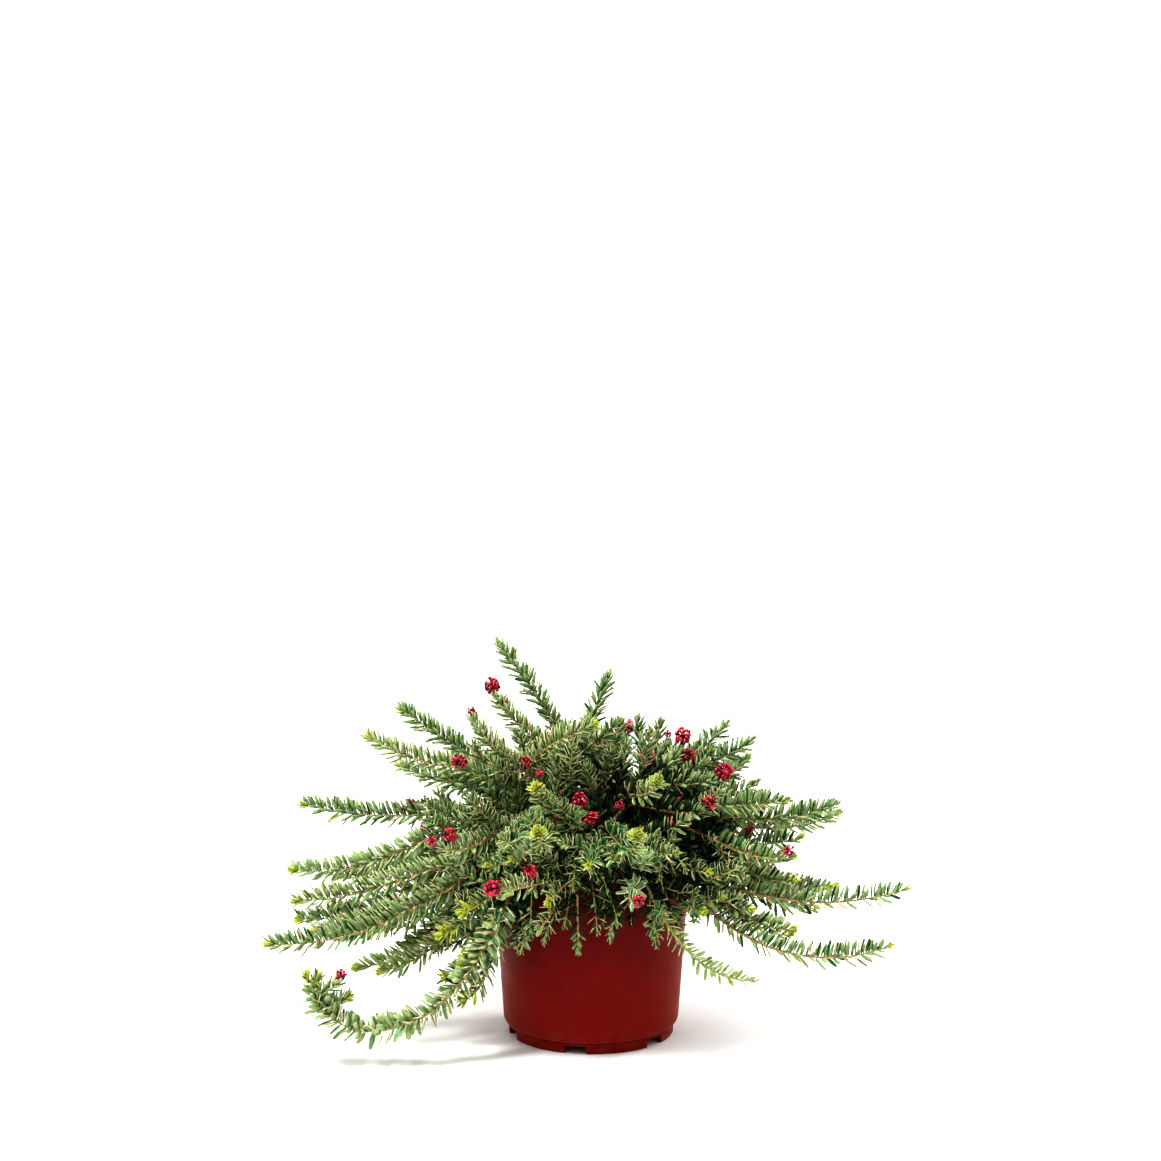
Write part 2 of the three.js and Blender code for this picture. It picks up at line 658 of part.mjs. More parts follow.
// Boughs first, so that every leaf can keep clear of them.
const cut = makeStem(GAP);
const masses = [];
for (const { name, azimuth, reach, height, rise, root, wands } of LIMBS) {
  const from = stemPath.getPointAt(root / STEM_HEIGHT);
  const tip = polar(azimuth, reach, height);
  const arrive = heading(azimuth, rise);
  const path = sweep(from, heading(azimuth, BOUGH_START_RISE), tip, arrive);
  const wood = limb(path, even(3), 5, taper(BOUGH_RADII)).subtract(cut);
  shrub.add(meshOf(`bough_${name}`, wood, bark));
  take(path, BOUGH_RADII[0], `bough_${name}`);
  const start = tip.clone().addScaledVector(arrive, GAP);
  const radii = [LEAD_RADII[0], wands[0].open ? SPLIT_RADIUS : LEAD_RADII[1]];
  masses.push({ name: `foliage_${name}`, paths: wandPaths(start, arrive, wands), wands, radii });
}

// The trailing wand's outer half starts where the inner half ends.
const trailing = masses.find((mass) => mass.name === "foliage_left_trailing");
const bend = trailing.paths[0].getPointAt(1);
const onward = trailing.paths[0].getTangentAt(1);
const upturnStart = bend.clone().addScaledVector(onward, GAP);
masses.push({
  name: `foliage_${UPTURN.name}`,
  paths: wandPaths(upturnStart, onward, [UPTURN.tip, UPTURN.side]),
  wands: [UPTURN.tip, UPTURN.side],
  radii: [SPLIT_RADIUS, LEAD_RADII[1]],
});

for (const mass of masses) {
  mass.paths.forEach((path, i) => take(path, WAND_CLEARANCE, ownerOf(mass.name, i)));
}

masses.forEach((mass, index) => {
  const random = seeded(300 + index);
  const parts = mass.paths.map((path, i) => limb(path, even(WAND_STEPS), 3, i ? sideRadius : taper(mass.radii)));
  mass.paths.forEach((path, i) => {
    for (const cluster of mass.wands[i].buds) addBuds(parts, path, cluster, ownerOf(mass.name, i));
  });
  mass.paths.forEach((path, i) => {
    const { buds, open } = mass.wands[i];
    const hasTuft = !open && buds.every(([share]) => share < 1);
    parts.push(...leavesOf(path, ownerOf(mass.name, i), random, hasTuft));
  });
  shrub.add(meshOf(mass.name, joined(parts), foliage));
});

export default shrub;
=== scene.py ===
# %% [markdown]
# # A potted grevillea
# This notebook dresses a low, spreading grevillea in a plastic nursery pot for the camera.
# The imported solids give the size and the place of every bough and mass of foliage, in one shared frame.
# Each mass is grown again here by the same rule, with leaves of their real size on finer twigs.
# Lengths are worked out in millimetres, as in the part's source, and turned into metres where a mesh is made.

import bpy
import numpy as np
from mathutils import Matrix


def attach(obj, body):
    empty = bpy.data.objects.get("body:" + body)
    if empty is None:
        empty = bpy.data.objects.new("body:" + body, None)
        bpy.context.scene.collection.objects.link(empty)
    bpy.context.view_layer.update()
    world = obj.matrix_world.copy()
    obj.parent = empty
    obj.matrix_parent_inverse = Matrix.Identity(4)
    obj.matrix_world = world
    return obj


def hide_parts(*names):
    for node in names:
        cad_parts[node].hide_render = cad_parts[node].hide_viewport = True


MM = 0.001

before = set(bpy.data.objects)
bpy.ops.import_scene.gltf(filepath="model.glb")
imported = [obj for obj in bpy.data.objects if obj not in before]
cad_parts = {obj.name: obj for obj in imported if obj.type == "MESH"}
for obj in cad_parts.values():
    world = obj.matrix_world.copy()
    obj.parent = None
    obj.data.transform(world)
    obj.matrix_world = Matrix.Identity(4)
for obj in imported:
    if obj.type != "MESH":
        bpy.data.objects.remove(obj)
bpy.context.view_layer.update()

# %% [markdown]
# ## Camera and colours
# The photograph was taken from about a metre and a half away, a little above the plant and looking slightly
# down. A 70 mm lens at that distance gives the flattened ellipses of the pot's rim and foot. The plain
# "Standard" view keeps the white surroundings white, and its high contrast deepens the inside of the crown.

# %% Camera
CAMERA_PLACE = (-0.00735, -1.53605, 0.48504)
CAMERA_PITCH, CAMERA_LENS = 6.3, 70.0


def placed(name, data):
    """A new object in the scene."""
    thing = bpy.data.objects.new(name, data)
    bpy.context.collection.objects.link(thing)
    return thing


camera_data = bpy.data.cameras.new("photo_camera")
camera_data.lens = CAMERA_LENS
camera_data.sensor_width = 36.0
camera_data.clip_end = 200.0
camera = placed("photo_camera", camera_data)
camera.location = CAMERA_PLACE
camera.rotation_euler = (np.radians(90 - CAMERA_PITCH), 0, 0)
bpy.context.scene.camera = camera
bpy.context.scene.view_settings.view_transform = "Standard"
bpy.context.scene.view_settings.look = "High Contrast"
print("camera at", CAMERA_PLACE)

# %% [markdown]
# ## Writing materials as sums
# A material is a small program made of nodes. The class below wraps one output socket, and arithmetic on it
# adds the Math nodes. Any other node comes from one method.


# %% Sockets and finishes
class Socket:
    """One output of a node. Sums on it add Math nodes to the same material."""

    def __init__(self, program, output):
        self.program, self.output = program, output

    def maths(self, operation, first, second):
        return self.program.node("Math", {0: first, 1: second}, operation=operation)["Value"]

    def __add__(self, other):
        return self.maths("ADD", self, other)

    def __sub__(self, other):
        return self.maths("SUBTRACT", self, other)

    def __mul__(self, other):
        return self.maths("MULTIPLY", self, other)

    def __rsub__(self, other):
        return self.maths("SUBTRACT", other, self)

    __radd__, __rmul__ = __add__, __mul__


def by_name(sockets):
    return {key: socket for socket in sockets if socket.enabled for key in (socket.name, socket.identifier)}


class Program:
    """A node tree that is written as a few lines of nodes and sums."""

    def __init__(self, tree):
        self.tree = tree

    def plug(self, node, values):
        sockets = dict(enumerate(node.inputs)) | by_name(node.inputs)
        for key, value in values.items():
            if isinstance(value, Socket):
                self.tree.links.new(value.output, sockets[key])
            else:
                sockets[key].default_value = value

    def node(self, kind, values, **settings):
        """A new node. Its inputs are given by name or place, and its outputs come back by name."""
        made = self.tree.nodes.new("ShaderNode" + kind)
        for name, value in settings.items():
            setattr(made, name, value)
        self.plug(made, values)
        return {name: Socket(self, output) for name, output in by_name(made.outputs).items()}

    def between(self, value, low, high):
        """0 below low, 1 above high and a straight slope from one to the other."""
        return self.node("MapRange", {"Value": value, "From Min": low, "From Max": high}, clamp=True)["Result"]

    def mix(self, mask, first, second):
        colours = {"Factor_Float": mask, "A_Color": first, "B_Color": second}
        return self.node("Mix", colours, data_type="RGBA")["Result_Color"]


class Finish(Program):
    """A material on the Principled shader. The keywords are constants on its sockets."""

    def __init__(self, name, **constants):
        self.material = bpy.data.materials.new(name)
        self.material.use_nodes = True
        super().__init__(self.material.node_tree)
        self.shader = self.tree.nodes["Principled BSDF"]
        self.place = self.node("TexCoord", {})["Object"]
        self.set(**constants)

    def set(self, **values):
        self.plug(self.shader, {name.replace("_", " "): value for name, value in values.items()})
        return self.material

    def noise(self, scale, detail, rough=0.5):
        values = {"Vector": self.place, "Scale": scale, "Detail": detail, "Roughness": rough}
        return self.node("TexNoise", values)["Fac"]

    def bump(self, height, strength, distance):
        values = {"Height": height, "Strength": strength, "Distance": distance}
        self.set(Normal=self.node("Bump", values)["Normal"])


def shade(red, green, blue):
    """A colour as a picture file states it, 0 to 255, turned into the linear numbers that light adds up in."""
    share = np.array([red, green, blue]) / 255
    linear = np.where(share <= 0.04045, share / 12.92, ((share + 0.055) / 1.055) ** 2.4)
    return (*linear.tolist(), 1.0)


def two_tone(name, dark, light, noise, span=(0.35, 0.65), relief=None, **constants):
    """A finish of two colours mixed by noise. With a relief, (strength, distance), the noise is raised too."""
    finish = Finish(name, **constants)
    grain = finish.noise(*noise)
    if relief:
        finish.bump(grain, *relief)
    return finish.set(Base_Color=finish.mix(finish.between(grain, *span), shade(*dark), shade(*light)))


# %% [markdown]
# ## Light
# The plant stands in a light tent: soft light from above, behind and both sides, and less from the open
# front. So the pot is deep red in the middle and paler at its edges, and the inside of the crown is dark
# because leaves hide it from the tent, and because its inner leaves carry a painted shade tone. The tent's
# strength is one number for each direction: the sum below. A lamp above and in front gives the leaves and
# buds their sheen, and a weak one behind lights the edges at the right.

# %% Tent and lamps
TENT_FRONT, TENT_BACK, TENT_SIDES, TENT_TOP = 0.2, 0.7, 0.35, 0.55
LAMPS = {"key_lamp": ((-0.75, -0.55, 1.95), 50.0), "rim_lamp": ((1.3, 0.9, 1.3), 12.0)}
LAMP_SIDE, LAMP_TARGET = 0.6, np.array([0, 0, 0.12])

world = bpy.data.worlds.new("light_tent")
world.use_nodes = True
tent = Program(world.node_tree)
way = tent.node("SeparateXYZ", {"Vector": tent.node("TexCoord", {})["Generated"]})
from_back, from_top = tent.between(way["Y"], -0.6, 0.35), tent.between(way["Z"], 0.35, 0.95)
from_sides = tent.between(way["X"] * way["X"], 0.2, 0.9)
strength = TENT_FRONT + TENT_BACK * from_back + TENT_SIDES * from_sides + TENT_TOP * from_top
tent.plug(world.node_tree.nodes["Background"], {"Strength": strength, "Color": (1, 1, 1, 1)})
bpy.context.scene.world = world

for lamp_name, (place, watts) in LAMPS.items():
    lamp_data = bpy.data.lights.new(lamp_name, "AREA")
    lamp_data.size, lamp_data.energy = LAMP_SIDE, watts
    lamp = placed(lamp_name, lamp_data)
    lamp.location = place
    towards = LAMP_TARGET - np.array(place)
    tilt, turn = np.arccos(-towards[2] / np.linalg.norm(towards)), np.arctan2(towards[1], towards[0])
    lamp.rotation_euler = (tilt, 0, turn - np.pi / 2)
print("lamps:", list(LAMPS))

# %% [markdown]
# ## Meshes from arrays
# A wand, a leaf, a flower bud and a crumb of soil are the same surface: rings of points round a path, with
# the first and last ring drawn together to a pole. They differ in the path, the radius and the number of
# rings. So one function numbers the faces of such a closed tube, and each kind of piece is an array of tubes:
# copies x points x 3.


# %% Closed tubes and the mesh maker
def tube_faces(rings, sides):
    """Corner numbers of one closed tube: the root pole, the rings and the tip pole. Quad (r, s) joins points
    s and s + 1 of ring r to the same points of ring r + 1, and triangles close the poles."""
    ring = 1 + sides * np.arange(rings)[:, None]
    here, beside = ring + np.arange(sides), ring + (np.arange(sides) + 1) % sides
    quads = np.stack([here[:-1], beside[:-1], beside[1:], here[1:]], -1).reshape(-1, 4)
    root = np.stack([np.zeros(sides, int), beside[0], here[0]], -1)
    tip = np.stack([here[-1], beside[-1], np.full(sides, 1 + rings * sides)], -1)
    return quads, np.concatenate([root, tip])


def copies(points, rings, sides, paint=0):
    """Many closed tubes as points, quads, triangles and the paint of both. points is copies x (2 + rings *
    sides) x 3, and paint is copies x rings + 1 x sides, the number of the material of each strip between two
    rings."""
    quads, triangles = tube_faces(rings, sides)
    count, each = points.shape[:2]
    shift = (each * np.arange(count))[:, None, None]
    paint = np.broadcast_to(paint, (count, rings + 1, sides))
    return (
        points.reshape(-1, 3),
        (quads + shift).reshape(-1, 4),
        (triangles + shift).reshape(-1, 3),
        paint[:, 1:-1].reshape(-1),
        paint[:, [0, -1]].reshape(-1),
    )


def stacked(parts):
    """Several sets of tubes as one: the corner numbers of each move up by the points before it."""
    before = np.cumsum([0] + [len(part[0]) for part in parts[:-1]])
    moved = [(part[0], part[1] + n, part[2] + n, *part[3:]) for part, n in zip(parts, before)]
    return [np.concatenate(column) for column in zip(*moved)]


def make_piece(name, surface, materials, nodes, crease=None):
    """A mesh object from arrays in millimetres. It rides on the plant's body and replaces the named nodes."""
    points, quads, triangles, quad_paint, triangle_paint = surface
    mesh = bpy.data.meshes.new(name)
    mesh.vertices.add(len(points))
    mesh.vertices.foreach_set("co", (points * MM).astype(np.float32).ravel())
    corners = np.concatenate([quads.ravel(), triangles.ravel()])
    mesh.loops.add(len(corners))
    mesh.loops.foreach_set("vertex_index", corners.astype(np.int32))
    mesh.polygons.add(len(quads) + len(triangles))
    starts = np.concatenate([4 * np.arange(len(quads)), 4 * len(quads) + 3 * np.arange(len(triangles))])
    mesh.polygons.foreach_set("loop_start", starts.astype(np.int32))
    mesh.polygons.foreach_set("material_index", np.concatenate([quad_paint, triangle_paint]).astype(np.int32))
    for material in materials:
        mesh.materials.append(material)
    mesh.update(calc_edges=True)
    mesh.shade_smooth()
    if crease is not None:
        mesh.set_sharp_from_angle(angle=np.radians(crease))
    mesh.validate()
    piece = placed(name, mesh)
    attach(piece, "root")
    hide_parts(*nodes)
    print(f"{name}: {2 * len(quads) + len(triangles)} triangles")


# %% [markdown]
# ## The pot
# The pot is one moulding of brick-red plastic: a wall that widens upwards, a rim band, a rounded lower edge
# and a foot ring with six notches, so that water can run out. It is a turned shape. A profile is carried
# round the axis, and where an angle falls in a notch the points of the foot ring are lifted to the notch's
# top. The drain slots are faces left out of the floor, with walls between its two skins.

# %% Pot sizes
RIM_RADIUS, RIM_HEIGHT, RIM_BAND = 70.0, 122.0, 8.5
WALL_TOP_RADIUS, WALL_FOOT_RADIUS, WALL, WALL_ROUNDING = 68.4, 61.0, 1.6, 5.0
FOOT_RADIUS, FOOT_HEIGHT, FOOT_WALL, FLOOR = 57.5, 7.5, 3.0, 2.0
CENTRE_RADIUS, CHANNEL_TOP = 34.0, 5.5
NOTCHES, NOTCH_WIDTH, NOTCH_HEIGHT, FIRST_NOTCH = 6, 14.5, 5.4, 259.0
DRAIN_SLOT, DRAIN_RADIUS = (9.0, 7.0), 45.0
SEAM_DEPTH = 0.5

# %% Pot surface
SLOT_INNER, SLOT_OUTER = DRAIN_RADIUS - DRAIN_SLOT[0] / 2, DRAIN_RADIUS + DRAIN_SLOT[0] / 2
shoulder = FOOT_HEIGHT + WALL_ROUNDING
band_foot = RIM_HEIGHT - RIM_BAND


def rounding(inset, steps=9):
    """The pot's rounded lower edge: a quarter of an ellipse from the foot ring out to the wall."""
    angle = np.linspace(0, np.pi / 2, steps)
    radius = WALL_FOOT_RADIUS - inset - (WALL_FOOT_RADIUS - FOOT_RADIUS) * (1 - np.sin(angle))
    return np.stack([radius, shoulder - (WALL_ROUNDING - inset) * np.cos(angle)], -1)


def rim_bead(radius, height, size, first, last, steps=5):
    """An arc of a circle of the given size, from the first angle to the last."""
    angle = np.radians(np.linspace(first, last, steps))
    return np.stack([radius + size * np.cos(angle), height + size * np.sin(angle)], -1)


def up_wall(low, high, steps=6):
    return np.linspace(low, high, steps)[1:-1]


foot_inner, floor_top = FOOT_RADIUS - FOOT_WALL, CHANNEL_TOP + FLOOR
under = [
    [CENTRE_RADIUS * 0.5, 0], [CENTRE_RADIUS, 0], [CENTRE_RADIUS + 1.5, CHANNEL_TOP], [SLOT_INNER, CHANNEL_TOP],
    [SLOT_OUTER, CHANNEL_TOP], [foot_inner - 1, CHANNEL_TOP], [foot_inner, 0], [FOOT_RADIUS - 0.5, 0],
    [FOOT_RADIUS - 0.1, 0.5], [FOOT_RADIUS, FOOT_HEIGHT - 0.8], [FOOT_RADIUS - SEAM_DEPTH, FOOT_HEIGHT - 0.3],
]
inside = [
    [FOOT_RADIUS - WALL - 3, floor_top], [SLOT_OUTER, floor_top], [SLOT_INNER, floor_top],
    [CENTRE_RADIUS - 0.5, floor_top], [CENTRE_RADIUS - 2, FLOOR], [CENTRE_RADIUS * 0.5, FLOOR],
]
outer_edge, inner_edge = rounding(0), rounding(WALL)[::-1]
profile = np.concatenate([
    under,
    outer_edge,
    up_wall(outer_edge[-1], [WALL_TOP_RADIUS, band_foot]),
    [[WALL_TOP_RADIUS, band_foot], [RIM_RADIUS - 0.5, band_foot + 0.2], [RIM_RADIUS, band_foot + 0.8]],
    rim_bead(RIM_RADIUS - 0.8, RIM_HEIGHT - 0.8, 0.8, 0, 90),
    rim_bead(WALL_TOP_RADIUS - WALL + 1.2, RIM_HEIGHT - 0.8, 0.8, 90, 160),
    [[WALL_TOP_RADIUS - WALL, band_foot]],
    up_wall([WALL_TOP_RADIUS - WALL, band_foot], inner_edge[0]),
    inner_edge,
    inside,
])
SLOT_UNDER, SLOT_ABOVE = 3, len(profile) - 5  # the profile's steps that cross the slots, below and above
FOOT_RING = slice(5, 9)  # the profile's points on the foot ring

half_notch = np.degrees(np.arcsin(NOTCH_WIDTH / 2 / (FOOT_RADIUS - FOOT_WALL / 2)))
half_slot = np.degrees(np.arcsin(DRAIN_SLOT[1] / 2 / DRAIN_RADIUS))
notch_middles = FIRST_NOTCH + 360 / NOTCHES * np.arange(NOTCHES)
edges = np.array([half_notch + 0.35, half_notch, half_slot])
notch_edges = notch_middles[:, None] + np.concatenate([-edges, edges])
pot_angles = np.unique(np.round(np.concatenate([np.arange(0, 360, 2.5), (notch_edges % 360).ravel()]), 4))
off_notch = np.abs((pot_angles[:, None] - notch_middles + 180) % 360 - 180).min(1)
in_notch = off_notch < half_notch + 0.01
in_slot = (off_notch < half_slot + 0.01) & (np.roll(off_notch, -1) < half_slot + 0.01)


def turned_pot():
    """Point (a, p) is profile point p turned by angle a: (r cos a, r sin a, z). Notches lift the foot ring."""
    turn = np.radians(pot_angles)[:, None]
    radius, height = profile[:, 0], np.repeat(profile[None, :, 1], len(pot_angles), 0)
    height[in_notch, FOOT_RING] = np.maximum(height[in_notch, FOOT_RING], NOTCH_HEIGHT)
    grid = np.stack([radius * np.cos(turn), radius * np.sin(turn), height], -1)
    turns, steps = height.shape
    number = np.arange(turns * steps).reshape(turns, steps)
    after = np.roll(number, -1, 0)
    quads = np.stack([number[:, :-1], after[:, :-1], after[:, 1:], number[:, 1:]], -1)
    keep = np.ones(quads.shape[:2], bool)
    keep[in_slot, SLOT_UNDER] = keep[in_slot, SLOT_ABOVE] = False
    inner, outer = (SLOT_UNDER, SLOT_ABOVE + 1), (SLOT_UNDER + 1, SLOT_ABOVE)
    walls = [quads[keep]]
    for (below, above), flip in ((inner, -1), (outer, 1)):
        wall = np.stack([number[:, below], number[:, above], after[:, above], after[:, below]], -1)
        walls.append(wall[in_slot, ::flip])
    starts, ends = in_slot & ~np.roll(in_slot, 1), np.roll(in_slot & ~np.roll(in_slot, -1), 1)
    for edge, flip in ((starts, -1), (ends, 1)):
        wall = number[:, [SLOT_UNDER, SLOT_UNDER + 1, SLOT_ABOVE, SLOT_ABOVE + 1]]
        walls.append(wall[edge, ::flip])
    poles = np.array([[0, 0, 0], [0, 0, FLOOR]])
    first = turns * steps
    caps = np.concatenate([
        np.stack([np.full(turns, first), after[:, 0], number[:, 0]], -1),
        np.stack([np.full(turns, first + 1), number[:, -1], after[:, -1]], -1),
    ])
    quads = np.concatenate(walls)
    points = np.concatenate([grid.reshape(-1, 3), poles])
    return points, quads, caps, np.zeros(len(quads), int), np.zeros(len(caps), int)


# %% [markdown]
# The plastic is matt and worn by handling: slightly blotchy, with fine scratches, a few grey specks of dried
# soil and a dustier lower edge. All of it comes from noise on the object's own coordinates. Its red is also
# brighter towards its foot and darker towards the rim, a painted shade of the crown over the pot's upper part.
# A soft orange sheen, as of fine dust, lightens the pot where it curves away.

# %% Pot plastic
ORANGE_SHEEN = {"Sheen_Weight": 0.22, "Sheen_Roughness": 0.5, "Sheen_Tint": (1, 0.34, 0.2, 1)}
plastic = Finish("red_plastic", Roughness=0.5, Specular_IOR_Level=0.05, **ORANGE_SHEEN)
blotches = plastic.between(plastic.noise(28, 4), 0.35, 0.65)
scuffs = plastic.between(plastic.noise(210, 6, 0.62), 0.6, 0.72)
height_up = plastic.node("SeparateXYZ", {"Vector": plastic.place})["Z"]
dusty = plastic.between(height_up, 0.022, 0.004) * plastic.between(plastic.noise(130, 5), 0.4, 0.7)
cells = plastic.node("TexVoronoi", {"Vector": plastic.place, "Scale": 75.0})["Distance"]
speckled = plastic.between(cells, 0.07, 0.045) * plastic.between(plastic.noise(45, 2), 0.56, 0.62)
red = plastic.mix(blotches, shade(80, 9, 11), shade(94, 11, 12))
# painted shade: the red grows darker towards the rim, under the crown's shadow, and brighter towards the foot
red = plastic.mix(plastic.between(height_up, 0.1, 0.01) * 0.6, red, shade(126, 18, 15))
red = plastic.mix(scuffs * 0.2, red, shade(150, 50, 42))
red = plastic.mix(dusty * 0.3, red, shade(130, 66, 52))
red = plastic.mix(speckled * 0.8, red, shade(170, 130, 105))
plastic.bump(plastic.noise(900, 3) * 0.6 + scuffs, 0.12, 0.0003)
plastic.set(Base_Color=red, Roughness=plastic.between(plastic.noise(60, 4), -0.6, 1.6))

make_piece("pot_moulding", turned_pot(), [plastic.material], ["pot"], crease=40)

# %% [markdown]
# ## The soil
# Moist potting mix fills the pot to just under the rim band. It is a turned plug whose top is roughened by
# noise, and crumbs of bark lie on it. The crumbs are the closed tube again, with three uneven rings.

# %% Soil
SOIL_TOP, SOIL_BUMP, GAP = 108.0, 1.1, 0.3
CRUMBS, CRUMB_REACH, CRUMB_SIZE, CRUMB_RINGS, CRUMB_SIDES = 420, 62.0, 3.2, 3, 5
rng = np.random.default_rng(3)


def wall_outer(height):
    share = (height - shoulder) / (band_foot - shoulder)
    return WALL_FOOT_RADIUS + (WALL_TOP_RADIUS - WALL_FOOT_RADIUS) * share


def soil_plug(rings=26, sides=72):
    """A turned plug: its skin follows the pot inside, and its top is a disc raised by three crossing waves."""
    edge, foot = wall_outer(SOIL_TOP) - WALL - GAP, wall_outer(shoulder) - WALL - GAP
    skin = np.array([
        [CENTRE_RADIUS - 2.9, FLOOR + GAP], [CENTRE_RADIUS - 1.2, floor_top + GAP],
        [FOOT_RADIUS - WALL - 5, floor_top + GAP], [foot - 0.6, shoulder + 1], [edge, SOIL_TOP - 1.5],
    ])
    disc = np.stack([np.linspace(edge - 0.4, 1.5, rings - len(skin)), np.full(rings - len(skin), SOIL_TOP)], -1)
    outline = np.concatenate([skin, disc])
    turn = np.linspace(0, 2 * np.pi, sides, endpoint=False)
    radius, height = outline[:, :1], outline[:, 1:] + 0 * turn
    x, y = radius * np.cos(turn), radius * np.sin(turn)
    waves = np.sin(0.34 * x + 0.2 * y) + np.sin(0.27 * y - 0.31 * x + 2) + np.sin(0.71 * x + 0.9 * y + 1)
    rough = SOIL_BUMP * (0.3 * waves + 0.5 * rng.uniform(-1, 1, x.shape))
    height = height + np.where(height > SOIL_TOP - 0.5, rough, 0)
    ring = np.stack([x, y, height], -1).reshape(1, -1, 3)
    poles = np.array([[[0, 0, FLOOR + GAP]], [[0, 0, SOIL_TOP]]])
    return copies(np.concatenate([poles[:1], ring, poles[1:]], 1), rings, sides)


def crumb_lumps(count):
    """Lumps of three five-sided rings: radius times a random stretch, laid flat and scattered over the disc."""
    reach = CRUMB_REACH * np.sqrt(rng.uniform(0.03, 1, count))
    turn = rng.uniform(0, 2 * np.pi, count)
    size = rng.uniform(0.5, 1.0, (count, 1, 1)) ** 2 * CRUMB_SIZE
    stretch = rng.uniform(0.45, 1.3, (count, 2 + CRUMB_RINGS * CRUMB_SIDES, 3)) * np.array([1.0, 0.7, 0.45])
    angle = np.linspace(0, 2 * np.pi, CRUMB_SIDES, endpoint=False)
    ring = np.stack([np.zeros(CRUMB_SIDES), np.cos(angle), np.sin(angle)], -1)
    rings = [ring * spread + [along, 0, 0] for spread, along in ((0.7, -0.6), (1.0, 0.0), (0.7, 0.6))]
    lump = np.concatenate([[[-1, 0, 0]], *rings, [[1, 0, 0]]]) * stretch * size
    yaw = rng.uniform(0, 2 * np.pi, (count, 1))
    x = lump[..., 0] * np.cos(yaw) - lump[..., 1] * np.sin(yaw)
    y = lump[..., 0] * np.sin(yaw) + lump[..., 1] * np.cos(yaw)
    place = np.stack([reach * np.cos(turn), reach * np.sin(turn), np.full(count, SOIL_TOP + 0.9)], -1)
    points = np.stack([x, y, lump[..., 2]], -1) + place[:, None]
    return copies(points, CRUMB_RINGS, CRUMB_SIDES, rng.integers(0, 2, (count, 1, 1)))


GRAINY = {"span": (0.35, 0.7), "relief": (0.9, 0.0012), "Roughness": 0.95, "Specular_IOR_Level": 0.2}
damp_soil = two_tone("damp_soil", (30, 20, 15), (66, 46, 33), (420, 8, 0.7), **GRAINY)
bark_chip = two_tone("bark_chip", (62, 40, 26), (104, 72, 48), (300, 8, 0.7), **GRAINY)
make_piece("soil_plug", soil_plug(), [damp_soil], ["soil"])
make_piece("soil_crumbs", crumb_lumps(CRUMBS), [damp_soil, bark_chip], ["soil"])

# %% [markdown]
# ## The rule the shrub grows by
# A shoot is a cubic curve. It leaves its parent in one direction and arrives at its tip in another, with
# handles 0.4 of the distance long, which bends it the way a growing shoot bends to the light. The part's
# source makes its limbs so. Here many curves are kept in one array, and a share of the length is turned into
# the curve's own number by a table.

# %% Directions and curves
UP = np.array([0.0, 0.0, 1.0])


def length_of(vectors):
    return np.linalg.norm(vectors, axis=-1, keepdims=True)


def unit(vectors):
    """Each vector divided by its own length."""
    return vectors / np.maximum(length_of(vectors), 1e-9)


def dot(first, second):
    return (first * second).sum(-1, keepdims=True)


def polar(azimuth, reach, height):
    """A point given by its direction seen from above, its distance from the pot's axis and its height."""
    turn = np.radians(azimuth)
    return np.stack(np.broadcast_arrays(reach * np.cos(turn), reach * np.sin(turn), height), -1)


def heading(azimuth, rise):
    """A unit direction given by its azimuth and its rise above the horizontal."""
    return polar(azimuth, np.cos(np.radians(rise)), np.sin(np.radians(rise)))


def sweep(start, leave, end, arrive):
    """The four control points of a curve from start to end that leaves and arrives in the given directions."""
    handle = 0.4 * length_of(end - start)
    return np.stack([start, start + handle * leave, end - handle * arrive, end], -2)


def on_curve(curves, t):
    """Point and direction at t: the cubic Bernstein sum of the four control points, and its unit derivative."""
    a, b, c, d = np.moveaxis(curves, -2, 0)
    t = t[..., None]
    s = 1 - t
    point = s**3 * a + 3 * s * s * t * b + 3 * s * t * t * c + t**3 * d
    return point, unit(s * s * (b - a) + 2 * s * t * (c - b) + t * t * (d - c))


def upper_side(along):
    """The direction square to each path that is nearest to straight up, and the level one square to both."""
    level = np.cross(along, UP)
    level = unit(np.where(length_of(level) < 0.15, np.array([1.0, 0, 0]) - along * along[..., :1], level))
    return np.cross(level, along), level


def around(along, degrees):
    """The direction square to each path that is turned by an angle from its upper side."""
    upper, level = upper_side(along)
    turn = np.radians(degrees)[:, None]
    return upper * np.cos(turn) + level * np.sin(turn)


def dealt(count):
    """The owner and number of each thing dealt out: counts 3 and 2 give 0 0 0 1 1 and 0 1 2 0 1."""
    owner = np.repeat(np.arange(len(count)), count)
    return owner, np.arange(len(owner)) - np.repeat(np.cumsum(count) - count, count)


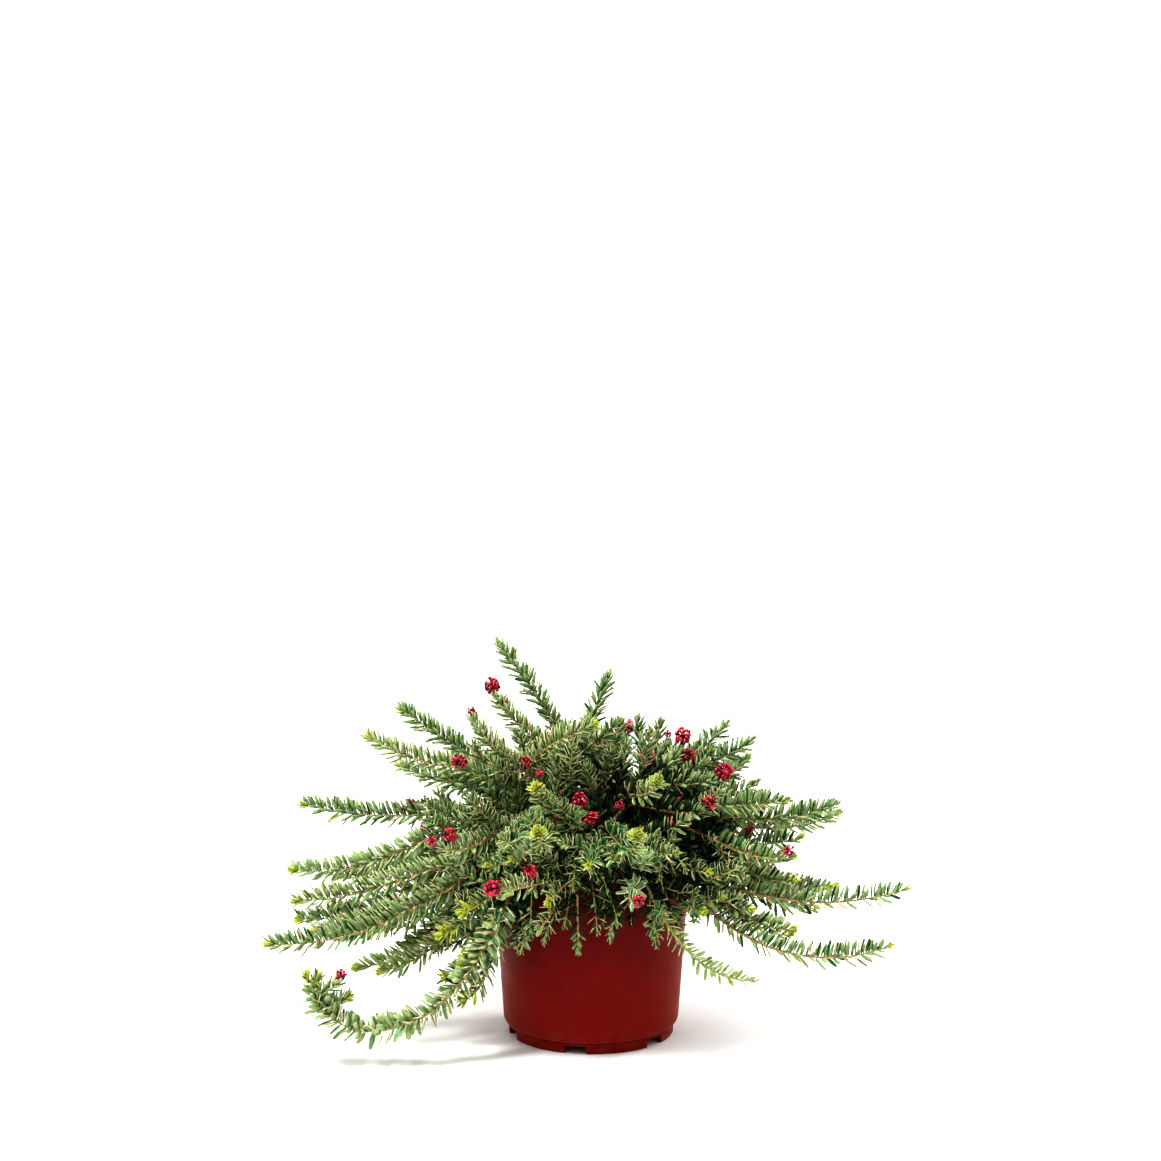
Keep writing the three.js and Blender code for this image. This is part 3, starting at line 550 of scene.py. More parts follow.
class Shoots:
    """Many shoots as arrays: curves n x 4 x 3, and the numbers that say how thick and how dressed each is."""

    STEPS, SAMPLES = 32, 65

    def __init__(self, curves, **facts):
        self.curves = np.asarray(curves, float)
        self.facts = {name: np.broadcast_to(value, len(self.curves)) for name, value in facts.items()}
        t = np.linspace(0, 1, self.SAMPLES)
        points = on_curve(self.curves[:, None], np.broadcast_to(t, (len(self.curves), self.SAMPLES)))[0]
        run = np.cumsum(length_of(np.diff(points, axis=1, prepend=points[:, :1]))[..., 0], 1)
        self.length = run[:, -1]
        self.even = np.array([np.interp(np.linspace(0, row[-1], self.STEPS + 1), row, t) for row in run])

    def __getattr__(self, name):
        return self.facts[name]

    def __len__(self):
        return len(self.curves)

    def at(self, which, share):
        """Point and direction at a share of the length: the table of even steps is read between its entries."""
        step = np.clip(share * self.STEPS, 0, self.STEPS - 1e-6)
        low = step.astype(int)
        t = self.even[which, low] + (self.even[which, low + 1] - self.even[which, low]) * (step - low)
        return on_curve(self.curves[which], t)

    def only(self, mask):
        return Shoots(self.curves[mask], **{name: value[mask] for name, value in self.facts.items()})

    def __add__(self, other):
        facts = {name: np.concatenate([value, other.facts[name]]) for name, value in self.facts.items()}
        return Shoots(np.concatenate([self.curves, other.curves]), **facts)


# %% [markdown]
# ## Boughs and wands
# The text below is the plant's plan. The line of a bough gives its name, the azimuth, reach from the axis,
# height and rise of its tip, and the tier where it leaves the stem. The lines under it are its wands, with
# the same four numbers for their own tips. The first wand carries the bough on, and the others fork from it
# at a share of its length. The fine ones are thinner than any in the part's source. A wand can end in an
# azimuth of its own, after "to", and start with a rise of its own, after "leave". Clusters of buds are stated
# by share, turn and radius. All were read along the lines of sight of the photograph, so every tip is where
# the picture has it. Two loops make the back by the same rule.

# %% The plan of the shrub
TIERS = [4.5, 10, 15.5, 20.5, 25.5, 30.5]
STEM_HEIGHT, STEM_LEAN, BOUGH_START_RISE, FORK_ANGLE, TUFT = 36.0, (1.5, 2.5), 28.0, 40.0, 6.0
PLAN = """
left_low 204 61 132 -24 1
  198 230 80 2 to=184 green
  191 208 102 4 olive
  199 154 55 -6 fork=0.08 spring buds=0.6/90/4
  180 132 60 -8 fork=0.14 green fine
  184 154 74 0 fork=0.22 green fine
  193 196 82 4 fork=0.4 olive fine
left_trailing 231 61 136 -40 0
  209 167 24 -2 to=182 open broad pale thin=0.85
  222 120 44 0 fork=0.34 spring
  237 90 68 -62 fork=0.16 short deep
  224 122 104 -6 fork=0.14
  222 119 69 -16 fork=0.1 spring fine
  219 105 50 -34 fork=0.16 deep fine
  207 115 51 -10 fork=0.22 green fine
  195 114 65 -8 fork=0.12 green fine
  216 128 86 -8 fork=0.05 deep fine
front_low 262 59 132 -26 1
  264 88 72 -76 short green
  240 128 125 8 fork=0.08 olive buds=1/0/6,0.5/0/5
  249 89 78 -70 fork=0.3 short deep
  254 108 114 -8 fork=0.16
front_right_low 297 61 135 -38 0
  321 146 61 2 to=352 short spring
  284 123 119 4 fork=0.06 buds=1/0/4.5
  278 88 80 -74 fork=0.14 short green
  299 90 74 -72 fork=0.24 short deep
right_front_low 325 61 132 -28 1
  338 219 84 22 to=355 leave=-52 dry
  352 223 109 14 to=10 fork=0.08 dry
  340 148 81 8 fork=0.2
  312 116 104 -4 fork=0.12
  336 154 88 10 fork=0.2 spring fine
  331 128 100 4 fork=0.06 deep fine
right_low 353 61 134 -20 0
  357 170 104 12
  6 128 106 18 buds=1/0/3
  12 184 92 6 fork=0.14
  350 162 94 8 fork=0.16 green fine
  345 148 116 12 fork=0.08 deep fine
left_back_low 174 61 133 -22 0
  177 209 76 2
  183 167 46 -4 spring
  165 192 98 8
  174 185 62 2 fork=0.3 green fine
left_middle 183 48 148 6 2
  183 210 117 10 buds=0.38/0/4
  168 212 152 14 rust buds=0.46/40/4,0.38/20/4
front_left_middle 209 44 147 18 3
  214 127 148 26 buds=1/90/4,0.86/0/5
  226 104 134 14 fork=0.08
  235 108 158 32
front_left 240 40 149 42 2
  252 116 170 60 olive rosette
  244 86 193 66 olive rosette buds=0.98/0/2.4
  262 58 172 70 fork=0.05 buds=1/0/5.5,0.82/200/5
  238 104 142 14 fork=0.05
  250 66 160 66 fork=0.1 buds=1/0/3.8 fine
front_right 281 44 146 30 3
  283 130 172 64 green rosette
  269 122 145 8 green
  290 56 168 80 fork=0.05 buds=1/0/3.5
  301 112 148 18 fork=0.06
right_front_middle 338 46 148 14 3
  336 145 138 16 buds=1/0/4,0.12/60/5
  345 142 170 10 buds=0.1/0/5
  320 108 128 10 fork=0.05
right_middle 4 48 148 8 2
  3 177 161 26 dry
  353 150 142 20 buds=0.55/0/3.5
  13 186 146 20 rust
left_upper 168 36 160 38 4
  173 160 206 34 olive buds=0.2/20/5,0.12/300/5.5
  154 155 218 32
  149 166 172 18
left_spire 203 26 162 60 5
  200 87 229 64 olive buds=1/0/3,0.4/300/4
  190 92 190 30 fork=0.04 buds=1/0/5.5
  277 45 225 26 to=0 fork=0.3 olive fine
  226 35 182 78 fork=0.1 buds=1/0/4.4 fine
  236 25 178 84 fork=0.06 buds=1/0/4.4 fine
front_spire 308 26 160 58 4
  307 75 194 66 olive rosette
  330 92 168 26 fork=0.05 buds=1/0/5
right_spire 347 26 162 60 5
  348 93 184 26 buds=1/0/6
  14 67 203 66 buds=1/0/6,0.82/180/5.5
  5 40 190 78 fork=0.05 buds=1/0/6
right_top 25 34 162 44 4
  19 125 201 36
  31 117 209 42 buds=0.12/0/4.5
  36 147 179 30
  8 121 174 34
  25 60 203 72 fork=0.1 buds=1/0/2.6 fine
back_left_spire 122 27 168 80 5
  139 91 269 50 to=150 green
  76 62 247 62 to=45 fork=0.08 rust
  144 88 233 50 fork=0.12 buds=1/0/6,0.84/120/5
  160 92 190 30 fork=0.04 buds=0.6/60/5.5
back_spire 68 24 168 66 5
  73 89 197 40 buds=1/0/6.5,0.86/270/5
  92 64 216 62 fork=0.08 olive buds=0.5/250/5.5"""
for i, azimuth in enumerate(range(34, 178, 36)):
    longer = 18 * (i % 2)
    PLAN += f"""
back_low_{i + 1} {azimuth} 62 137 -8 {i % 2}
  {azimuth + 3} {196 + longer} 96 10
  {azimuth - 12} {178 - longer} 78 4 buds=0.5/0/4.5
  {azimuth + 14} 142 {58 + longer} -4 fork=0.05"""
for i, azimuth in enumerate(range(52, 160, 36)):
    longer = 14 * (i % 2)
    PLAN += f"""
back_middle_{i + 1} {azimuth} 46 150 18 {3 - i % 2}
  {azimuth - 2} {168 + longer} 150 20 buds=0.3/0/5
  {azimuth + 13} 134 {176 + longer} 32 buds=1/0/5"""
PLAN += """
left_upturn
  203 206 66 74 to=180 broad pale thick=0.85 bare=1 fresh=0.6
  206 176 48 34 to=0 fork=0.5 spring bare=0
  206 184 60 46 to=350 fork=0.7 pale buds=1/0/3.8 fine bare=0
  204 196 64 66 to=350 fork=0.5 green fine bare=0"""


def numbered(names):
    return {name: number for number, name in enumerate(names.split())}


LEAF = numbered("plain broad short narrow")
TONE = numbered("deep green olive pale spring young rust dry shade")
END = numbered("growing open rust dry buds rosette")
WORDS = {"fine": ("thick", 0.8)}
for fact, kinds in (("leaf", LEAF), ("tone", TONE), ("end", END)):
    WORDS |= {name: (fact, number) for name, number in kinds.items()}


def numbers_of(words):
    return [float(word) for word in words]


def read_option(word):
    """The name and value of name=value, a number or bud clusters, or of one word: fine, a leaf, tone or end."""
    name, _, value = word.partition("=")
    if name == "buds":
        return name, [numbers_of(cluster.split("/")) for cluster in value.split(",")]
    return (name, float(value)) if value else WORDS[name]


def read_plan(text):
    """Rows of name, numbers and wands. A line that starts with a name opens a row, and its wands follow it."""
    rows = []
    for first, *rest in [line.split() for line in text.strip().splitlines()]:
        if first[0].isalpha():
            rows.append((first, numbers_of(rest), []))
        else:
            rows[-1][2].append((numbers_of([first, *rest[:3]]), dict(read_option(word) for word in rest[3:])))
    return rows


plan = read_plan(PLAN)
print("masses:", len(plan), "wands:", sum(len(wands) for _, _, wands in plan))

# %% [markdown]
# The curves of the plan are worked out bough by bough, since each starts where the last one ended. Every wand
# keeps the name of its mass, the kind and tone of its leaves and what its end looks like: growing, rusty,
# dry, in bud, a rosette, or open where the trailing wand is carried on by the upturned one. A tone that the
# plan leaves open is drawn: the foliage near the ground and on the left is drawn paler than at the top and
# right, as painted light where the light falls on it.

# %% Curves of the stem, boughs and wands
# painted light: the chances for low and left wands lean to the paler tones
TONE_CHANCES = {"low": [0.1, 0.4, 0.2, 0.3], "left": [0.1, 0.35, 0.25, 0.3], "else": [0.45, 0.4, 0.1, 0.05]}
GROUPS = [side + level for side in ("left", "front", "right", "back") for level in ("_low", "_high")]
LOW_GROUP, LOW_TONES, NARROW_ABOVE = 140.0, 125.0, 145.0
LEFT_TONES, LEFT_NARROW = (120, 250), (150, 215)

stem_foot = np.array([0, 0, SOIL_TOP + GAP])
stem_top = stem_foot + [*STEM_LEAN, STEM_HEIGHT]
stem = Shoots([sweep(stem_foot, UP, stem_top, unit(stem_top - stem_foot))])
bough_rows, wand_rows, bud_rows = [], [], []
tone_draw = np.random.default_rng(8)


def group_of(mass, height):
    """The number of the group that a mass is drawn with: its side of the plant, and low or high."""
    return GROUPS.index(mass.split("_")[0] + ("_low" if height < LOW_GROUP else "_high"))


def usual(azimuth, height, is_lead):
    """What a wand is like where the plan doesn't say."""
    place = "low" if height < LOW_TONES else "left" if LEFT_TONES[0] < azimuth < LEFT_TONES[1] else "else"
    narrow = height > NARROW_ABOVE or LEFT_NARROW[0] < azimuth < LEFT_NARROW[1]
    return {
        "to": azimuth, "fork": 0.1, "buds": [], "end": END["growing"], "order": 1, "bare": 6.0,
        "leaf": LEAF["narrow" if narrow else "plain"],
        "tone": tone_draw.choice(4, p=TONE_CHANCES[place]), "thick": 1.5 if is_lead else 1.2, "thin": 0.5,
    }


def add_wands(mass, start, leave, wands):
    """The lead wand from start, and the others forked from it at 40 degrees to its direction."""
    lead = None
    for (azimuth, reach, height, rise), stated in wands:
        wand = usual(azimuth, height, lead is None) | stated
        wand.setdefault("fresh", 0.45 if wand["tone"] == TONE["spring"] else 0.0)
        arrive = heading(wand["to"], rise)
        tip = polar(azimuth, reach, height) - (0 if wand["end"] == END["open"] else TUFT) * arrive
        if lead is None:
            if "leave" in wand:
                leave = heading(np.degrees(np.arctan2(leave[1], leave[0])), wand["leave"])
            curve = sweep(start, leave, tip, arrive)
            lead = Shoots([curve])
        else:
            (fork,), (ahead,) = lead.at(np.array([0]), np.array([wand["fork"]]))
            aside = unit(tip - fork - ahead * np.dot(tip - fork, ahead))
            turn = np.radians(FORK_ANGLE)
            curve = sweep(fork, ahead * np.cos(turn) + aside * np.sin(turn), tip, arrive)
        if any(share == 1 for share, _, _ in wand["buds"]):
            wand["end"] = END["buds"]
        bud_rows.extend((len(wand_rows), *cluster) for cluster in wand["buds"])
        wand_rows.append(wand | {"curve": curve, "mass": mass, "group": group_of(mass, start[2])})
    return lead


def shoots_of(rows, names, **facts):
    """Rows of named values as one set of shoots."""
    columns = {name: [row[name] for row in rows] for name in names.split()}
    return Shoots([row["curve"] for row in rows], **columns, **facts)


for name, numbers, rows in plan:
    if numbers:
        azimuth, reach, height, rise, tier = numbers
        (root,), _ = stem.at(np.array([0]), np.array([TIERS[int(tier)] / STEM_HEIGHT]))
        start, onward = polar(azimuth, reach, height), heading(azimuth, rise)
        curve = sweep(root, heading(azimuth, BOUGH_START_RISE), start, onward)
        bough_rows.append({"curve": curve, "mass": name})
    else:
        start, onward = trailing_end
    first = len(wand_rows)
    lead = add_wands(name, start, onward, rows)
    if numbers:
        bough_rows[-1] |= {"group": wand_rows[first]["group"], "tone": wand_rows[first]["tone"]}
    if name == "left_trailing":
        trailing_end = [end[0] for end in lead.at(np.array([0]), np.array([1.0]))]

wands = shoots_of(wand_rows, "group leaf tone end order thick thin bare fresh")
boughs = shoots_of(bough_rows, "group tone", leaf=LEAF["narrow"])
print("boughs:", len(boughs), "wands:", len(wands), "metres of wand:", round(float(wands.length.sum()) * MM, 2))

# %% [markdown]
# ## Finer twigs
# The source stops at the wands, because its solids are few. The real shrub goes on: short side shoots leave
# the inner part of each wand and the outer part of each bough, and fill the crown round its middle. Their
# length falls with the distance from the middle, so the outer wands stay single and the sky shows between
# them, as in the photograph.

# %% Side shoots
CROWN_MIDDLE, CROWN_ACROSS, CROWN_UP, CROWN_DOWN = np.array([0, 0, 140.0]), 128.0, 74.0, 95.0
HOLLOW_MIDDLE, HOLLOW_HALF = np.array([25.0, -45.0, 164.0]), np.array([20.0, 62.0, 20.0])
GOLDEN, SHORTEST_TWIG = 137.5, 9.0
rng = np.random.default_rng(11)


def outside_hollow(points):
    """True outside the dark gap that opens in the crown a little right of its middle, in front of the stem."""
    return (((points - HOLLOW_MIDDLE) / HOLLOW_HALF) ** 2).sum(-1) > 1


def outside_pot(points, margin):
    """True for each point above the rim, beside the wall or above the soil, with the margin kept clear."""
    radius, height = np.hypot(points[..., 0], points[..., 1]), points[..., 2]
    wall = np.where(height > RIM_HEIGHT - RIM_BAND, RIM_RADIUS, WALL_TOP_RADIUS) + margin
    above_soil = (radius < WALL_TOP_RADIUS - 3 * WALL - margin) & (height > SOIL_TOP + 2 + margin)
    return (height > RIM_HEIGHT + margin) | ((radius > wall) & (height > margin)) | above_soil


def points_on(curves, shares):
    """Points x shares of each curve."""
    return on_curve(curves[:, None], np.broadcast_to(shares, (len(curves), len(shares))))[0]


def side_shoots(parents, spacing, first, last, longest, upwards):
    """Shoots from a spiral round each parent. Each ends at its root plus its length in a direction between
    its own, its parent's and up, and shoots that would touch the pot are left out."""
    parent, number = dealt(np.maximum(((last - first) * parents.length / spacing).astype(int), 1))
    n = len(parent)
    share = first + (number + rng.uniform(0.1, 0.9, n)) * spacing / parents.length[parent]
    root, along = parents.at(parent, np.clip(share, 0, 0.97))
    outward = around(along, GOLDEN * number + rng.uniform(-25, 25, n) + 90 * parent)
    offset = root - CROWN_MIDDLE
    tall = np.where(offset[:, 2] > 0, CROWN_UP, CROWN_DOWN)
    inner = 1 - np.hypot(offset[:, 0], offset[:, 1]) ** 2 / CROWN_ACROSS**2 - (offset[:, 2] / tall) ** 2
    length = (longest * np.clip(inner, 0, 1) * rng.uniform(0.65, 1.15, n))[:, None]
    leave = unit(0.75 * outward + 0.65 * along)
    arrive = unit(0.35 * outward + 0.6 * along + upwards * UP)
    curves = sweep(root, leave, root + length * unit(leave + 0.8 * arrive), arrive)
    middle = points_on(curves, [0.35, 0.7, 1.0])
    keep = (length[:, 0] > SHORTEST_TWIG) & (outside_pot(middle, 2.5) & outside_hollow(middle)).all(1)
    # painted shade: twigs deep in the crown mostly take the deep or green tone instead of their parent's
    tone = np.where(rng.uniform(0, 1, n) < 0.45 * (1 - inner), parents.tone[parent], rng.integers(0, 2, n))
    leaf = np.where(parents.leaf[parent] == LEAF["broad"], LEAF["plain"], parents.leaf[parent])
    facts = {"group": parents.group[parent], "leaf": leaf, "tone": tone, "end": END["growing"], "order": 2}
    return Shoots(curves, **facts, thick=0.75, thin=0.4, bare=2.5, fresh=0.2).only(keep)


twigs = side_shoots(wands, spacing=25, first=0.04, last=0.7, longest=62, upwards=0.5)
twigs = twigs + side_shoots(boughs, spacing=12, first=0.2, last=1.0, longest=60, upwards=0.7)

# %% [markdown]
# Shorter shoots leave the low boughs, arch over the rim all the way round and hang in front of the pot's rim
# band. Most are dealt the deep tone, as painted shade under the crown.

# %% Hanging shoots
HANGING_EACH, HANGING_FAN, HANGING_REACH, HANGING_HEIGHT = 13, 23.0, 85.0, 106.0


def hanging_shoots(parents, each):
    """Shoots from near the tip of each low bough, fanned out, that arch over the rim and hang outside it."""
    parent, number = dealt(np.full(len(parents), each))
    n = len(parent)
    fan = np.linspace(-1, 1, each)[number] + rng.uniform(-0.2, 0.2, n)
    root, along = parents.at(parent, rng.uniform(0.7, 1.0, n))
    azimuth = np.degrees(np.arctan2(root[:, 1], root[:, 0])) + HANGING_FAN * fan
    tip = polar(azimuth, HANGING_REACH + rng.uniform(-6, 9, n), HANGING_HEIGHT + rng.uniform(-18, 24, n))
    leave = unit(along + 0.7 * np.cross(UP, along) * fan[:, None] + 0.75 * UP)
    curves = sweep(root, leave, tip, heading(azimuth + 12 * fan, rng.uniform(-75, -20, n)))
    # painted shade: the hanging shoots are mostly deep, for the shade under the crown
    tone = rng.choice(3, n, p=[0.65, 0.3, 0.05])
    facts = {"group": parents.group[parent], "leaf": LEAF["short"], "tone": tone, "end": END["open"]}
    made = Shoots(curves, **facts, order=2, thick=0.8, thin=0.4, bare=3.0, fresh=0.3)
    return made.only(outside_pot(points_on(curves, np.linspace(0.1, 1, 10)), 1.5).all(1))


hanging = hanging_shoots(boughs.only(boughs.curves[:, 3, 2] < LOW_GROUP), HANGING_EACH)
twigs = twigs + hanging
shoots = wands + twigs
metres = round(float(twigs.length.sum()) * MM, 2)
print("hanging:", len(hanging), "twigs:", len(twigs), "metres of twig:", metres)

# %% [markdown]
# ## Stem and boughs with their bark
# The stem and boughs are woody, with a thin bark that splits into long flakes. The relief is in the mesh: the
# radius of the tube is raised by ridges that run along the limb and wander round it. The stem widens in five
# lobes at its foot. Each tube takes its two cross directions from the plane that its own curve lies in, so it
# doesn't twist.


# %% Tubes along shoots
def cross_axis(along):
    """A direction square to each path: the normal of the plane it bends in, made square at each ring."""
    bend = np.cross(along[:, :1], along[:, -1:])
    across = np.where(length_of(bend) > 0.05, bend, upper_side(along[:, :1])[1])
    return unit(across - along * dot(across, along))


def ringed(middle, along, across, radius, ends):
    """Ring r, side s of a tube: middle r plus radius (r, s) times cos and sin of the side's angle on two
    directions square to the path. Each pole is off its end ring by a share of the radius."""
    angle = np.linspace(0, 2 * np.pi, radius.shape[2], endpoint=False)[:, None]
    over = np.cross(along, across)
    ring = middle[:, :, None] + radius * (across[:, :, None] * np.cos(angle) + over[:, :, None] * np.sin(angle))
    poles = middle[:, [0, -1]] + along[:, [0, -1]] * radius[:, [0, -1]].mean(2) * np.array(ends)[:, None]
    return np.concatenate([poles[:, :1], ring.reshape(len(middle), -1, 3), poles[:, 1:]], 1)


def tubes(made, rings, sides, radius_of):
    """Closed tubes along shoots, with the radius radius_of(share, angle)."""
    share = np.broadcast_to(np.linspace(0, 1, rings), (len(made), rings))
    middle, along = made.at(np.arange(len(made))[:, None], share)
    radius = radius_of(share[..., None], np.linspace(0, 2 * np.pi, sides, endpoint=False))
    return ringed(middle, along, cross_axis(along), radius[..., None], (-0.3, 0.6))


# %% Bark relief
STEM_RADII, STEM_STEPS = [9.6, 7.4, 6.9, 6.6, 6.3, 5.2, 2.6], [0, 0.1, 0.25, 0.5, 0.78, 0.93, 1]
STEM_RINGS, BOUGH_RINGS = (44, 56), (26, 18)


def flakes(share, angle, count, depth, seed):
    """Bark relief as a share of the radius: sharp ridges round the limb whose places wander along it."""
    wander = 0.7 * np.sin(9 * share + seed) + 0.4 * np.sin(23 * share + 2 * seed)
    ridge = 1 - np.abs(np.sin(count * angle + 2.5 * wander + seed))
    steps = 0.5 + 0.5 * np.sin(37 * share + 3 * np.sin(angle + seed) + seed)
    return depth * (ridge**2 + 0.6 * steps * ridge)


def stem_radius(share, angle):
    flare = np.clip(1 - share / 0.25, 0, 1) * 0.14 * np.cos(5 * angle)
    return np.interp(share, STEM_STEPS, STEM_RADII) * (1 + flare + flakes(share, angle, 7, 0.1, 1.0) - 0.06)


def bough_radius(share, angle):
    seeds = np.arange(len(boughs))[:, None, None] * 1.7
    return (2.3 - 0.7 * share) * (1 + flakes(share, angle, 3, 0.16, seeds) - 0.08)


# %% Bark
bark = Finish("woody_bark", Roughness=0.9, Specular_IOR_Level=0.25)
furrows = bark.noise(900, 8, 0.7)
patches = bark.between(bark.noise(160, 4), 0.38, 0.62)
brown = bark.mix(bark.between(furrows, 0.35, 0.65), shade(70, 48, 36), shade(122, 92, 70))
bark.bump(furrows, 0.8, 0.0006)
bark.set(Base_Color=bark.mix(patches * 0.5, brown, shade(140, 118, 98)))

bough_nodes = ["bough_" + row["mass"] for row in bough_rows]
stem_surface = copies(tubes(stem, *STEM_RINGS, stem_radius), *STEM_RINGS)
bough_surface = copies(tubes(boughs, *BOUGH_RINGS, bough_radius), *BOUGH_RINGS)
make_piece("stem_bark", stem_surface, [bark.material], ["main_stem"])
make_piece("bough_bark", bough_surface, [bark.material], bough_nodes)

# %% [markdown]
# ## Wands and twigs
# A young stem is tan and slightly pink where it is a year old and yellow-green where it grows. The colour
# changes by the ring: each strip of a tube takes one of three materials by its share of the length.

# %% Stems of the wands and twigs
STEM_COLOURS = {
    "stem_brown": ((138, 94, 64), (178, 132, 94)),
    "stem_tan": ((168, 136, 88), (198, 164, 114)),
    "stem_green": ((150, 152, 66), (176, 176, 90)),
}
SMOOTH_BARK = {"noise": (700, 4, 0.6), "relief": (0.5, 0.0003), "Roughness": 0.62, "Specular_IOR_Level": 0.35}
stem_finishes = [two_tone(name, *pair, **SMOOTH_BARK) for name, pair in STEM_COLOURS.items()]
BROWN_SHARE, TAN_SHARE = 0.42, 0.82
STEM_KINDS = [(wands, 26, 7), (twigs, 8, 5)]  # with the rings and sides of each


def stem_tubes(made, rings, sides):
    """Stems that taper to the tip, and the number of the material of each strip by its share of the length."""
    uneven = rng.uniform(-0.07, 0.07, (len(made), rings, sides))
    thick, thin = made.thick[:, None, None], made.thin[:, None, None]

    def taper(share, angle):
        return (thick + (thin - thick) * share**0.8) * (1 + uneven)

    points = tubes(made, rings, sides, taper)
    age = np.linspace(0, 1, rings + 1) + made.fresh[:, None]
    paint = (age > BROWN_SHARE).astype(int) + (age > TAN_SHARE)
    return copies(points, rings, sides, paint[:, :, None])


def foliage_nodes(rows):
    return sorted({"foliage_" + row["mass"] for row in rows})


group_nodes = [foliage_nodes([row for row in wand_rows if row["group"] == i]) for i in range(len(GROUPS))]
for number, group in enumerate(GROUPS):
    parts = [stem_tubes(kind.only(kind.group == number), rings, sides) for kind, rings, sides in STEM_KINDS]
    make_piece(f"stems_{group}", stacked(parts), stem_finishes, group_nodes[number])

# %% [markdown]
# ## Leaves
# The leaf is narrow and blunt, 9 to 12 mm long, with its edges rolled under. The rolled edge and the
# underside are covered in pale silky hairs, so each dark leaf has a pale outline. A blade is the closed tube
# again, with three five-sided rings: two upper strips, two edge strips and the underside, each with its own
# material. Leaves follow one another round the stem by the golden angle. On a level wand they are combed
# upwards, as leaves turn to the light, and those below stay close to the stem. Towards the growing tip they
# are shorter, closer and yellow-green.

# %% What the leaves are like
#                      length, width, spacing, lean of upright, lean of level
LEAF_SIZES = np.array([
    [11.3, 3.0, 0.88, 52, 76],
    [12.4, 4.5, 0.78, 66, 74],
    [9.0, 3.1, 1.2, 58, 68],
    [12.0, 2.9, 0.64, 50, 70],
])
END_TONES = np.array([TONE[name] for name in ("young", "young", "rust", "dry", "olive", "young")])
SHADE_MIDDLE, SHADE_HALF = CROWN_MIDDLE + [28.0, 0, 0], np.array([88.0, 84.0, 56.0])
RIM_SHADE, RIM_SHADE_HALF = (78, 112), (18, 32)


def painted_shade_share(points):
    """How much of the painted shade tone a leaf here gets: 1 deep in the crown, a little right of its middle,
    and nearly so round the pot's rim, and 0 in the open: one less the squared distance in half-sizes."""
    from_middle = (((points - SHADE_MIDDLE) / SHADE_HALF) ** 2).sum(-1)
    section = np.stack([np.hypot(points[:, 0], points[:, 1]), points[:, 2]], -1)
    from_rim = (((section - RIM_SHADE) / RIM_SHADE_HALF) ** 2).sum(-1)
    return np.clip(np.maximum(1.1 * (1 - from_middle), 0.8 - from_rim), 0, 1)


def vigour_of(made):
    """The wands on the left grow hardest, so their ends are the broadest and brightest. Those with dry ends
    have stopped."""
    left = made.group <= GROUPS.index("left_high")
    return np.where(left, 1.6, np.where(made.end == END["dry"], 0.6, 0.8))


